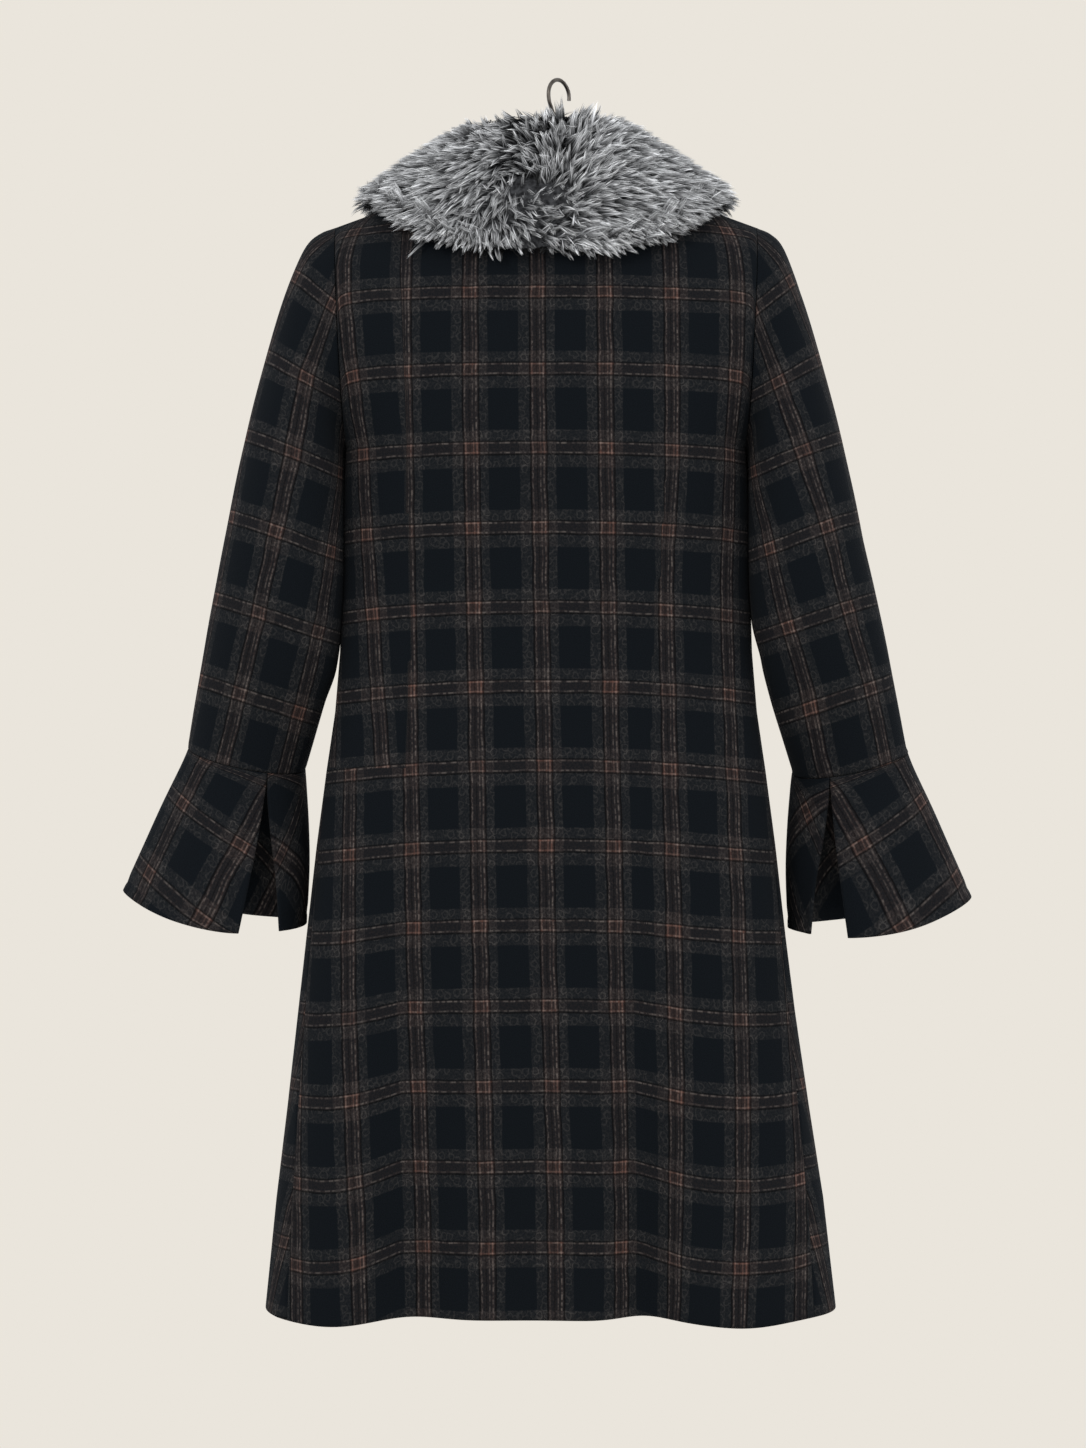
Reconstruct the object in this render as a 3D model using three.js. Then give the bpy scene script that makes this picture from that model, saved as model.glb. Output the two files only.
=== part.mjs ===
// A knee-length checked wool coat with a fur collar and flared, slit cuffs, hung on a hanger.
// Units are millimetres. +Z is up, the front of the coat faces -Y and the wearer's left is +X.
// The origin is the inside top of the hanger's hook, where it rests on a rail.
import * as THREE from "three";
import { mergeVertices } from "three/addons/utils/BufferGeometryUtils.js";

// Driving dimensions
const CLOTH = 2.5; // thickness of every cloth wall
const SEAM_GAP = 0.5; // space left between two panels at a seam
const COAT_X = 12; // the coat's centre plane, measured from the hook's axis
const HEM_Z = -1128;
const ARMPIT_Z = -342;
const ARMPIT_X = 185;
const SHOULDER_X = 195; // where the shoulder seam meets the sleeve
const SHOULDER_Z = -136;
const SHOULDER_SLOPE = 20; // degrees
const SHOULDER_ROUNDING = 2.2; // the power by which the back and the front turn over to the shoulder seam
const UPPER_ROUNDING = 0.6; // how much rounder the section is between the armholes than at the armpit
const ARMHOLE_HALF_DEPTH = 60;
const NECK_HALF_WIDTH = 72;
const CENTRE_OVERLAP = 28; // how far each front passes the centre line
const LAYER_STEP = CLOTH + 1.3; // the left front lies this far under the right front
const UNDERLAP_START = CENTRE_OVERLAP + 4; // from here to the next the left front comes out to its own level
const UNDERLAP_END = CENTRE_OVERLAP + 46;
const UNDERLAP_SINK = 1.4; // the share of the height above which the underlap also sinks at the neckline
const BUTTON_RADIUS = 14;
const BUTTON_HEIGHT = 5;
const BUTTON_SHANK = 0.8;
const BUTTON_FIRST_Z = -250;
const BUTTON_PITCH = 112;
const BUTTON_COUNT = 4;
const WIRE_RADIUS = 1.85;
const HOOK_RADIUS = 15; // to the wire's centre line
const HOOK_TURN = 50; // degrees that the hook is turned about its stem
const HANGER_HALF_WIDTH = 172;
const HANGER_THICKNESS = 14;
const HANGER_DROP = 4.9; // from the shoulder seam to the hanger's upper edge

const slopeTan = Math.tan(THREE.MathUtils.degToRad(SHOULDER_SLOPE));
const NECK_Z = SHOULDER_Z + (SHOULDER_X - NECK_HALF_WIDTH) * slopeTan;
const sinDeg = (a) => Math.sin(THREE.MathUtils.degToRad(a));
const cosDeg = (a) => Math.cos(THREE.MathUtils.degToRad(a));
const mix = (a, b, t) => a + (b - a) * t;
const smooth = (a, b, x) => {
  const t = Math.min(1, Math.max(0, (x - a) / (b - a)));
  return t * t * (3 - 2 * t);
};
const bell = (x, centre, width) => Math.exp(-(((x - centre) / width) ** 2));

// Body sections below the armpit, one row for each level.
// boxy is the power of the cosine: the smaller, the squarer the section.
// seam is the side seam's angle from the centre back, in degrees, and middle is the section's own centre.
const BODY_ROWS = [
  { z: -342, half: 185, back: 96, front: 112, boxy: 0.62, seam: 90, middle: 0 },
  { z: -400, half: 188.5, back: 93, front: 111, boxy: 0.63, seam: 89, middle: 0 },
  { z: -470, half: 189.5, back: 89, front: 106, boxy: 0.66, seam: 88, middle: 0 },
  { z: -530, half: 191, back: 89, front: 103, boxy: 0.66, seam: 86, middle: 0 },
  { z: -585, half: 195.5, back: 92, front: 105, boxy: 0.65, seam: 84, middle: 0 },
  { z: -640, half: 203.5, back: 98, front: 108, boxy: 0.63, seam: 82, middle: 0 },
  { z: -710, half: 212.5, back: 105, front: 113, boxy: 0.59, seam: 79, middle: 0 },
  { z: -793, half: 221.5, back: 112, front: 117, boxy: 0.55, seam: 76, middle: 0 },
  { z: -863, half: 229.5, back: 118, front: 120, boxy: 0.51, seam: 74, middle: -0.5 },
  { z: -947, half: 240, back: 126, front: 123, boxy: 0.46, seam: 71, middle: -2 },
  { z: -1030, half: 251, back: 134, front: 126, boxy: 0.41, seam: 68, middle: -3.5 },
  { z: HEM_Z, half: 261, back: 142, front: 129, boxy: 0.37, seam: 65, middle: -4.2 },
];

// Vertical folds in the skirt, on the back (side 1) and the front (side -1).
// depth is outwards, drop lowers the hem, and each fold grows downwards from its top.
const FOLDS = [
  { side: 1, x: 196, depth: 8, drop: 7, width: 52, top: -620 },
  { side: 1, x: -180, depth: 8, drop: 7, width: 50, top: -620 },
  { side: 1, x: 122, depth: -32, drop: 0, width: 40, top: -600 },
  { side: 1, x: -88, depth: -32, drop: -1, width: 30, top: -620 },
  { side: 1, x: 12, depth: -20, drop: 1, width: 75, top: -620 },
  { side: -1, x: 118, depth: -22, drop: 0, width: 40, top: -700 },
  { side: -1, x: -122, depth: -20, drop: 0, width: 42, top: -680 },
];

const FOLD_FULL_Z = HEM_Z - 140; // where a fold would reach its whole depth

// Sleeve rings of the left arm, from the armhole to the cuff seam: the point under the arm, the point
// on the outside, the half depth, the middle's place front to back and how far the back dips below it.
const SLEEVE_ROWS = [
  { inX: 185, inZ: -342, outX: 195, outZ: -136, depth: 60, midY: 0, dip: 0 },
  { inX: 187.2, inZ: -346, outX: 208.5, outZ: -141, depth: 63, midY: 0, dip: 0 },
  { inX: 188.6, inZ: -351, outX: 221, outZ: -152, depth: 65, midY: 2, dip: 0 },
  { inX: 189.4, inZ: -357, outX: 232.5, outZ: -176, depth: 67, midY: 5, dip: 0 },
  { inX: 189.6, inZ: -366, outX: 245, outZ: -212, depth: 68, midY: 10, dip: 0 },
  { inX: 189.6, inZ: -380, outX: 258.5, outZ: -261, depth: 67, midY: 16, dip: 0 },
  { inX: 189.4, inZ: -402, outX: 272, outZ: -315, depth: 65, midY: 22, dip: 1 },
  { inX: 189.6, inZ: -436, outX: 285.5, outZ: -377, depth: 63, midY: 26, dip: 2 },
  { inX: 190.6, inZ: -480, outX: 298, outZ: -440, depth: 61, midY: 25, dip: 4 },
  { inX: 194.6, inZ: -528, outX: 309.5, outZ: -496, depth: 59, midY: 18, dip: 6 },
  { inX: 203, inZ: -568, outX: 319, outZ: -544, depth: 56, midY: 6, dip: 7 },
  { inX: 214, inZ: -605, outX: 327, outZ: -582, depth: 53, midY: -7, dip: 8 },
  { inX: 225, inZ: -640, outX: 334, outZ: -618, depth: 51, midY: -18, dip: 9 },
];

// Rings of the left cuff from the cuff seam to the cuff's hem. sag lowers the front and back of the ring.
const CUFF_ROWS = [
  { inX: 225, inZ: -640, outX: 334, outZ: -618, depth: 51, midY: -18, dip: 9, sag: 0 },
  { inX: 223.5, inZ: -656, outX: 341, outZ: -635, depth: 56, midY: -18, dip: 8, sag: 3 },
  { inX: 221, inZ: -692, outX: 358, outZ: -671, depth: 66, midY: -17, dip: 7, sag: 7 },
  { inX: 220, inZ: -732, outX: 375.5, outZ: -711, depth: 76, midY: -16, dip: 5, sag: 10 },
  { inX: 222, inZ: -782, outX: 393, outZ: -751, depth: 85, midY: -14, dip: 4, sag: 13 },
];

// The slit in the same rings of a cuff: the angles of its outer and inner edge, and how far both turn
// towards the inside of the right cuff.
const SLIT_ROWS = [
  { outer: 114.6, inner: 115.4, turn: 0 },
  { outer: 114, inner: 116.6, turn: 1 },
  { outer: 112.4, inner: 123.2, turn: 3 },
  { outer: 110.6, inner: 131, turn: 5 },
  { outer: 109, inner: 138.6, turn: 7 },
];

// How the right arm hangs beside the left: each ring's inside and outside points move outwards and down.
const RIGHT_ARM = [
  { share: 0, inside: 0, outside: 0, down: 0 },
  { share: 0.3, inside: 0, outside: -5, down: 0 },
  { share: 0.65, inside: 0.5, outside: -4, down: 0 },
  { share: 0.8, inside: 3, outside: 0, down: 2 },
  { share: 1, inside: 5, outside: 4, down: 4 },
];

// The collar by angle from the centre back: how far it lies down the coat from the neck seam,
// the place of its highest line, the height of the fur at its edge and how far the fur reaches past the edge.
const COLLAR_ROWS = [
  { angle: 0, reach: 62, crestR: 64, crestZ: -35, pile: 24, edgeOut: 8 },
  { angle: 45, reach: 74, crestR: 66, crestZ: -35, pile: 24, edgeOut: 8 },
  { angle: 90, reach: 97, crestR: 66, crestZ: -36, pile: 24, edgeOut: 8 },
  { angle: 135, reach: 84, crestR: 78, crestZ: -70, pile: 24, edgeOut: 8 },
  { angle: 180, reach: 72, crestR: 90, crestZ: -120, pile: 22, edgeOut: 8 },
];
const COLLAR_END_ANGLE = 176.5; // where each end stops, short of the centre front
const COLLAR_STATIONS = 42;
const COLLAR_CLEARANCE = 4.2; // keeps the faceted underside clear of the coat
const COLLAR_BULGE = 3; // how far the top swells past a straight line from its edge to its crest
const PROFILE_STEP = 0.5; // between two points of the coat's outline under the collar
const PROFILE_LENGTH = 130;
const SLOPE_REACH = 4; // how far to each side the outline's slope is read

function blendRows(a, b, share) {
  const made = {};
  for (const name of Object.keys(a)) {
    made[name] = mix(a[name], b[name], share);
  }
  return made;
}

// A table read by its key column, with straight lines between rows.
function lookUp(rows, key, value) {
  const rising = rows[1][key] > rows[0][key];
  const isPast = (row) => (rising ? value > row[key] : value < row[key]);
  let i = 0;
  while (i < rows.length - 2 && isPast(rows[i + 1])) {
    i++;
  }
  const share = (value - rows[i][key]) / (rows[i + 1][key] - rows[i][key]);
  return blendRows(rows[i], rows[i + 1], Math.min(1, Math.max(0, share)));
}

// A table read as a smooth curve: share runs from 0 at its first row to 1 at its last.
function curveRow(rows, share) {
  const place = Math.min(Math.max(share, 0), 1) * (rows.length - 1);
  const i = Math.min(Math.floor(place), rows.length - 2);
  const t = place - i;
  const before = rows[Math.max(i - 1, 0)];
  const after = rows[Math.min(i + 2, rows.length - 1)];
  const made = {};
  for (const name of Object.keys(rows[i])) {
    const from = rows[i][name];
    const rise = rows[i + 1][name] - from;
    const slopeFrom = (rows[i + 1][name] - before[name]) / 2;
    const slopeTo = (after[name] - from) / 2;
    const bend = 3 * rise - 2 * slopeFrom - slopeTo;
    const twist = slopeFrom + slopeTo - 2 * rise;
    made[name] = from + slopeFrom * t + bend * t ** 2 + twist * t ** 3;
  }
  return made;
}

// A closed wall from a grid of outer points and their outward normals, each held as rows of columns.
// A closed grid joins its last column to its first.
function wallFromGrid(outer, normals, closed) {
  const rows = outer.length;
  const columns = outer[0].length;
  const inner = outer.map((row, i) =>
    row.map((point, j) => point.clone().addScaledVector(normals[i][j], -CLOTH)),
  );
  const points = [...outer.flat(), ...inner.flat()];
  const at = (layer, i, j) => layer * rows * columns + i * columns + (j % columns);
  const faces = [];
  const quad = (a, b, c, d) => faces.push(a, b, c, a, c, d);
  const lastColumn = closed ? columns : columns - 1;
  for (let i = 0; i < rows - 1; i++) {
    for (let j = 0; j < lastColumn; j++) {
      quad(at(0, i, j), at(0, i, j + 1), at(0, i + 1, j + 1), at(0, i + 1, j));
      quad(at(1, i, j), at(1, i + 1, j), at(1, i + 1, j + 1), at(1, i, j + 1));
    }
  }
  for (let j = 0; j < lastColumn; j++) {
    quad(at(0, 0, j), at(1, 0, j), at(1, 0, j + 1), at(0, 0, j + 1));
    quad(at(0, rows - 1, j), at(0, rows - 1, j + 1), at(1, rows - 1, j + 1), at(1, rows - 1, j));
  }
  if (!closed) {
    const last = columns - 1;
    for (let i = 0; i < rows - 1; i++) {
      quad(at(0, i, 0), at(0, i + 1, 0), at(1, i + 1, 0), at(1, i, 0));
      quad(at(0, i, last), at(1, i, last), at(1, i + 1, last), at(0, i + 1, last));
    }
  }
  return solidGeometry(points, faces);
}

// A geometry from shared points, turned round if its faces point inwards.
function solidGeometry(points, faces) {
  let volume = 0;
  for (let i = 0; i < faces.length; i += 3) {
    const [a, b, c] = [points[faces[i]], points[faces[i + 1]], points[faces[i + 2]]];
    volume += a.dot(b.clone().cross(c)) / 6;
  }
  if (volume < 0) {
    for (let i = 0; i < faces.length; i += 3) {
      [faces[i + 1], faces[i + 2]] = [faces[i + 2], faces[i + 1]];
    }
  }
  const places = points.flatMap((point) => [point.x, point.y, point.z]);
  const geometry = new THREE.BufferGeometry();
  geometry.setAttribute("position", new THREE.Float32BufferAttribute(places, 3));
  geometry.setIndex(faces);
  geometry.computeVertexNormals();
  return geometry;
}

// The outward normal of a surface at (u, v), from small steps that stay inside the given limits.
function normalOf(surface, u, v, limits) {
  const step = 1e-3;
  const [u0, u1] = [Math.max(u - step, limits.u[0]), Math.min(u + step, limits.u[1])];
  const [v0, v1] = [Math.max(v - step, limits.v[0]), Math.min(v + step, limits.v[1])];
  const alongU = surface(u1, v).sub(surface(u0, v));
  const alongV = surface(u, v1).sub(surface(u, v0));
  return alongU.cross(alongV).normalize();
}

// Body surface

// A point of the body at an angle from the centre back, at a level below the armpit.
function bodySection(angle, z) {
  const row = lookUp(BODY_ROWS, "z", z);
  const x = row.middle + row.half * sinDeg(angle);
  const c = cosDeg(angle);
  const side = c >= 0 ? 1 : -1;
  let depth = (side > 0 ? row.back : row.front) * Math.abs(c) ** row.boxy;
  let drop = 0;
  for (const fold of FOLDS.filter((one) => one.side === side)) {
    const growth = smooth(fold.top, FOLD_FULL_Z, z) * Math.min(1, Math.abs(c) * 3);
    const share = growth * bell(x, fold.x, fold.width);
    depth += fold.depth * share;
    drop += fold.drop * share;
  }
  return new THREE.Vector3(x, side * depth, z - drop);
}

// The neckline of one half of the body, back or front.
// neckStand is the power by which the cloth turns up to the neckline: the larger, the nearer to it.
const UPPER = {
  back: { sign: 1, depth: 96, neckDepth: 62, neckDrop: 21, neckStand: 3 },
  front: { sign: -1, depth: 112, neckDepth: 80, neckDrop: 74, neckStand: 0 },
};

function topLine(half, x) {
  const open = Math.max(0, 1 - (x / NECK_HALF_WIDTH) ** 2);
  const slopeZ = SHOULDER_Z + (SHOULDER_X - Math.abs(x)) * slopeTan;
  return {
    y: half.neckDepth * Math.sqrt(open),
    z: open > 0 ? NECK_Z - half.neckDrop * open ** 0.8 : slopeZ,
  };
}

// A point above the armpit. angle is from the half's own centre line and level runs from 0 to 1.
function upperPoint(half, angle, level) {
  const x = mix(ARMPIT_X, SHOULDER_X, level) * sinDeg(angle);
  const top = topLine(half, x);
  const roundOver = Math.sqrt(Math.max(0, 1 - level ** SHOULDER_ROUNDING));
  const neck = top.y * level ** half.neckStand;
  const inside = mix(neck, half.depth, roundOver);
  const edge = ARMHOLE_HALF_DEPTH * 2 * Math.sqrt(level * (1 - level));
  const boxy = BODY_ROWS[0].boxy + (UPPER_ROUNDING * edge) / ARMHOLE_HALF_DEPTH;
  const y = mix(edge, inside, Math.abs(cosDeg(angle)) ** boxy);
  return new THREE.Vector3(x, half.sign * y, mix(ARMPIT_Z, top.z, level));
}

// Rows of a body panel: v from 0 at the hem to 1 at the armpit, and to 2 at the shoulder.
const LOWER_LEVELS = 17;
const UPPER_LEVELS = 8;
const LEVELS = [
  ...Array.from({ length: LOWER_LEVELS }, (_, i) => i / LOWER_LEVELS),
  ...Array.from({ length: UPPER_LEVELS + 1 }, (_, i) => 1 + (1 - cosDeg((180 * i) / UPPER_LEVELS)) / 2),
];

// Columns from a half's centre line to its edge, closer together where the neckline turns up to its corner.
const NECK_COLUMNS = 4;
const columnAt = (x) => THREE.MathUtils.radToDeg(Math.asin(x / SHOULDER_X)) / 90;
function halfColumns(shoulderColumns) {
  const columns = [];
  for (let i = 0; i < NECK_COLUMNS; i++) {
    columns.push(columnAt(NECK_HALF_WIDTH * sinDeg((90 * i) / NECK_COLUMNS)));
  }
  for (let i = 0; i <= shoulderColumns; i++) {
    columns.push(mix(columnAt(NECK_HALF_WIDTH), 1, i / shoulderColumns));
  }
  return columns;
}

// u runs from -1 at the right side seam to 1 at the left one.
function backSurface(u, v) {
  if (v > 1) return upperPoint(UPPER.back, u * 90, Math.min(v, 2) - 1);
  const z = mix(HEM_Z, ARMPIT_Z, v);
  return bodySection(u * lookUp(BODY_ROWS, "z", z).seam, z);
}

// u runs from 1 at the side seam through 0 at the centre front to -1 at the front edge.
function frontSurface(side, u, v) {
  const z = mix(HEM_Z, ARMPIT_Z, Math.min(v, 1));
  const row = lookUp(BODY_ROWS, "z", z);
  const past = THREE.MathUtils.radToDeg(Math.asin(CENTRE_OVERLAP / row.half));
  const span = v > 1 ? 90 : 180 - row.seam;
  const fromCentre = u * (u >= 0 ? span : past);
  const point =
    v > 1
      ? upperPoint(UPPER.front, side * fromCentre, Math.min(v, 2) - 1)
      : bodySection(180 - side * fromCentre, z);
  const under = side > 0 ? 1 - smooth(UNDERLAP_START, UNDERLAP_END, point.x) : 0;
  point.y += LAYER_STEP * under;
  point.z -= LAYER_STEP * under * smooth(UNDERLAP_SINK, 2, v);
  return point;
}

const SEAM_SHARE = 0.0013; // how far a panel's side edge keeps back from the seam, as a share of its width

// A body panel's wall. Its side edges keep back from the seams, and its shoulder edge stands upright.
function bodyPanel(surface, columns, sign) {
  const limits = { u: [-1.02, 1.02], v: [-0.02, 2] };
  const outer = [];
  const normals = [];
  for (const v of LEVELS) {
    const atArmhole = v > 1;
    const local = atArmhole ? { u: [-1, 1], v: [1, 2] } : limits;
    outer.push([]);
    normals.push([]);
    for (const u of columns) {
      const atSeam = Math.abs(u) === 1 && !atArmhole;
      const place = atSeam ? u - Math.sign(u) * SEAM_SHARE : u;
      const point = surface(place, v);
      const normal = normalOf(surface, place, v, local).multiplyScalar(sign);
      if (v === 2) {
        if (Math.abs(point.x) > NECK_HALF_WIDTH - 1) {
          normal.y = 0;
          normal.normalize();
        }
        point.y += Math.sign(surface(u, 1.5).y) * SEAM_GAP * 0.5;
      }
      outer[outer.length - 1].push(point);
      normals[normals.length - 1].push(normal);
    }
  }
  return wallFromGrid(outer, normals, false);
}

const backHalf = halfColumns(10);
const backColumns = [...backHalf.slice(1).reverse().map((u) => -u), ...backHalf];
const frontColumns = [-1, -0.5, ...halfColumns(7)];

// Sleeves and cuffs

// A point of a ring, at an angle from the outside towards the back.
// share is the ring's place along the sleeve, and only moves the right arm.
function ringPoint(row, side, angle, share) {
  const c = cosDeg(angle);
  const s = sinDeg(angle);
  const sag = (row.sag ?? 0) * s * s;
  const point = new THREE.Vector3(
    (row.inX + row.outX) / 2 + ((row.outX - row.inX) / 2) * c,
    row.midY + row.depth * s,
    (row.inZ + row.outZ) / 2 + ((row.outZ - row.inZ) / 2) * c - row.dip * s - sag,
  );
  if (side < 0) {
    const hang = lookUp(RIGHT_ARM, "share", share);
    point.x += mix(hang.inside, hang.outside, (1 + c) / 2);
    point.z -= hang.down;
  }
  point.x *= side;
  return point;
}

function sleeveSurface(side, u, v) {
  const point = ringPoint(curveRow(SLEEVE_ROWS, v), side, u * 360, v);
  point.x += side * SEAM_GAP;
  return point;
}

// A cuff runs from the slit's outer edge round the outside, the front and the inside to its inner edge.
function cuffSurface(side, u, v) {
  const slit = curveRow(SLIT_ROWS, v);
  const turned = side < 0 ? slit.turn : 0;
  const start = slit.outer + turned;
  const end = slit.inner + turned - 360;
  const point = ringPoint(curveRow(CUFF_ROWS, v), side, mix(start, end, u), 1);
  point.z -= SEAM_GAP;
  return point;
}

const SLEEVE_RINGS = 19;
const SLEEVE_COLUMNS = 20;
const CUFF_RINGS = 7;
const CUFF_COLUMNS = 26;

function tubeWall(surface, rings, columns, closed) {
  const outer = [];
  const normals = [];
  const centre = new THREE.Vector3();
  for (let i = 0; i < rings; i++) {
    const v = i / (rings - 1);
    const count = closed ? columns : columns + 1;
    const row = Array.from({ length: count }, (_, j) => surface(j / columns, v));
    centre.set(0, 0, 0);
    row.forEach((point) => centre.addScaledVector(point, 1 / count));
    const limits = { u: closed ? [-1, 2] : [0, 1], v: [0, 1] };
    outer.push(row);
    normals.push(
      row.map((point, j) => {
        const normal = normalOf(surface, j / columns, v, limits);
        return normal.dot(point.clone().sub(centre)) < 0 ? normal.negate() : normal;
      }),
    );
  }
  return wallFromGrid(outer, normals, closed);
}

// Collar

const HALVINGS = 30;

// The height of the coat's outside above a place on the plan, by halving the range of levels.
function coatHeight(x, y) {
  const half = y >= 0 ? UPPER.back : UPPER.front;
  const pointAt = (level) => {
    const sine = Math.min(1, Math.abs(x) / mix(ARMPIT_X, SHOULDER_X, level));
    return upperPoint(half, THREE.MathUtils.radToDeg(Math.asin(sine)), level);
  };
  if (Math.abs(y) <= topLine(half, x).y) {
    return topLine(half, x).z;
  }
  let low = 0;
  let high = 1;
  for (let i = 0; i < HALVINGS; i++) {
    const middle = (low + high) / 2;
    if (Math.abs(pointAt(middle).y) > Math.abs(y)) {
      low = middle;
    } else {
      high = middle;
    }
  }
  return pointAt(low).z;
}

// The coat's outline in the plane at an angle from the centre back, as points by their distance along it.
function coatProfile(angle) {
  const half = Math.abs(angle) <= 90 ? UPPER.back : UPPER.front;
  const neckR = 1 / Math.hypot(sinDeg(angle) / NECK_HALF_WIDTH, cosDeg(angle) / half.neckDepth);
  const points = [];
  let along = 0;
  for (let r = neckR + PROFILE_STEP; r < ARMPIT_X + 5; r += PROFILE_STEP) {
    const z = coatHeight(r * sinDeg(angle), r * cosDeg(angle));
    const last = points[points.length - 1];
    if (last) {
      along += Math.hypot(r - last.r, z - last.z);
    }
    points.push({ along, r, z });
    if (along > PROFILE_LENGTH) {
      break;
    }
  }
  return points;
}

function collarSection(angle) {
  const row = lookUp(COLLAR_ROWS, "angle", Math.abs(angle));
  const profile = coatProfile(angle);
  const at = (along) => {
    const here = lookUp(profile, "along", along);
    const next = lookUp(profile, "along", along + SLOPE_REACH);
    const before = lookUp(profile, "along", Math.max(0, along - SLOPE_REACH));
    const length = Math.hypot(next.r - before.r, next.z - before.z);
    const alongR = (next.r - before.r) / length;
    const alongZ = (next.z - before.z) / length;
    return { r: here.r, z: here.z, alongR, alongZ };
  };
  const lift = (along, height, outwards = 0) => {
    const p = at(along);
    return [
      p.r - p.alongZ * height + p.alongR * outwards,
      p.z + p.alongR * height + p.alongZ * outwards,
    ];
  };
  const neck = at(0);
  const edge = lift(row.reach, row.pile * 0.96);
  const crest = [row.crestR, row.crestZ];
  const bulge = [0, 1].map((k) => mix(crest[k], edge[k], 0.5) + COLLAR_BULGE);
  const curve = (t) =>
    [0, 1].map((k) => (1 - t) ** 2 * edge[k] + 2 * t * (1 - t) * bulge[k] + t * t * crest[k]);
  // Out along the underside, up the edge, over the top to the crest and down inside the neck
  return [
    [neck.r + 1.5, neck.z + COLLAR_CLEARANCE + 1],
    lift(6, COLLAR_CLEARANCE + 1),
    lift(row.reach * 0.25, COLLAR_CLEARANCE + 1),
    lift(row.reach * 0.5, COLLAR_CLEARANCE),
    lift(row.reach * 0.75, COLLAR_CLEARANCE),
    lift(row.reach, COLLAR_CLEARANCE),
    lift(row.reach, row.pile * 0.3, row.edgeOut),
    lift(row.reach, row.pile * 0.7, row.edgeOut * 0.8),
    edge,
    curve(0.3),
    curve(0.6),
    curve(0.85),
    crest,
    [row.crestR - 11, row.crestZ - 5],
    [mix(neck.r, row.crestR, 0.7) - 18, mix(neck.z, row.crestZ, 0.6)],
    [neck.r - 7, neck.z + 8],
  ].map(([r, z]) => new THREE.Vector3(r * sinDeg(angle), r * cosDeg(angle), z));
}

function collarGeometry() {
  const stations = COLLAR_STATIONS;
  const points = [];
  const faces = [];
  const sections = [];
  for (let i = 0; i <= stations; i++) {
    sections.push(collarSection(mix(-COLLAR_END_ANGLE, COLLAR_END_ANGLE, i / stations)));
  }
  sections.forEach((section) => points.push(...section));
  const size = sections[0].length;
  const at = (i, j) => i * size + (j % size);
  for (let i = 0; i < stations; i++) {
    for (let j = 0; j < size; j++) {
      faces.push(at(i, j), at(i, j + 1), at(i + 1, j + 1));
      faces.push(at(i, j), at(i + 1, j + 1), at(i + 1, j));
    }
  }
  for (const end of [0, stations]) {
    const middle = new THREE.Vector3();
    sections[end].forEach((point) => middle.addScaledVector(point, 1 / size));
    points.push(middle);
    for (let j = 0; j < size; j++) {
      const fan = [points.length - 1, at(end, j + 1), at(end, j)];
      faces.push(...(end === 0 ? fan : [fan[0], fan[2], fan[1]]));
    }
  }
  return solidGeometry(points, faces);
}

// A library geometry with its shared points joined, so that it is a closed solid.
function sealed(geometry) {
  geometry.deleteAttribute("normal");
  geometry.deleteAttribute("uv");
  const merged = mergeVertices(geometry, 1e-3);
  merged.computeVertexNormals();
  return merged;
}

// Buttons

const BUTTON_DISH = 1.2; // how far the middle lies below the rim
const BUTTON_SIDES = 16;

// A button with a raised rim, from its half section: shares of the radius and heights.
function buttonGeometry() {
  const profile = [
    [0, 0],
    [0.8, 0],
    [1, 1.8],
    [0.97, BUTTON_HEIGHT - 1],
    [0.82, BUTTON_HEIGHT],
    [0.62, BUTTON_HEIGHT - BUTTON_DISH],
    [0, BUTTON_HEIGHT - BUTTON_DISH],
  ].map(([share, height]) => new THREE.Vector2(BUTTON_RADIUS * share, height));
  return sealed(new THREE.LatheGeometry(profile, BUTTON_SIDES));
}

// Sets a button on the right front's centre line at a height, square to the cloth.
function placeButton(mesh, z) {
  const lower = (z - HEM_Z) / (ARMPIT_Z - HEM_Z);
  const upper = 1 + (z - ARMPIT_Z) / (topLine(UPPER.front, 0).z - ARMPIT_Z);
  const place = z > ARMPIT_Z ? upper : lower;
  const surface = (u, v) => frontSurface(-1, u, v);
  const point = surface(0, place);
  const normal = normalOf(surface, 0, place, { u: [-1, 1], v: [0, 2] });
  if (normal.y > 0) {
    normal.negate();
  }
  mesh.position.copy(point).addScaledVector(normal, BUTTON_SHANK);
  mesh.quaternion.setFromUnitVectors(new THREE.Vector3(0, 1, 0), normal);
}

// Hanger

const HOOK_TIP_ANGLE = -8; // degrees, where the round part of the hook starts
const HOOK_ARC_STEPS = 12;
// The wire below the round part, in the hook's own plane: how far out and how high
const HOOK_NECK = [
  { out: 14, z: -19.5 },
  { out: 10.6, z: -26 },
  { out: 7.2, z: -31.5 },
  { out: 3.6, z: -39 },
  { out: 1.2, z: -48 },
  { out: 0, z: -57 },
];
// The stem below it, which bends across to the hanger's middle
const HOOK_STEM = [
  { x: COAT_X * 0.6, z: -66 },
  { x: COAT_X, z: -74 },
  { x: COAT_X, z: -79.6 },
];

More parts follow.
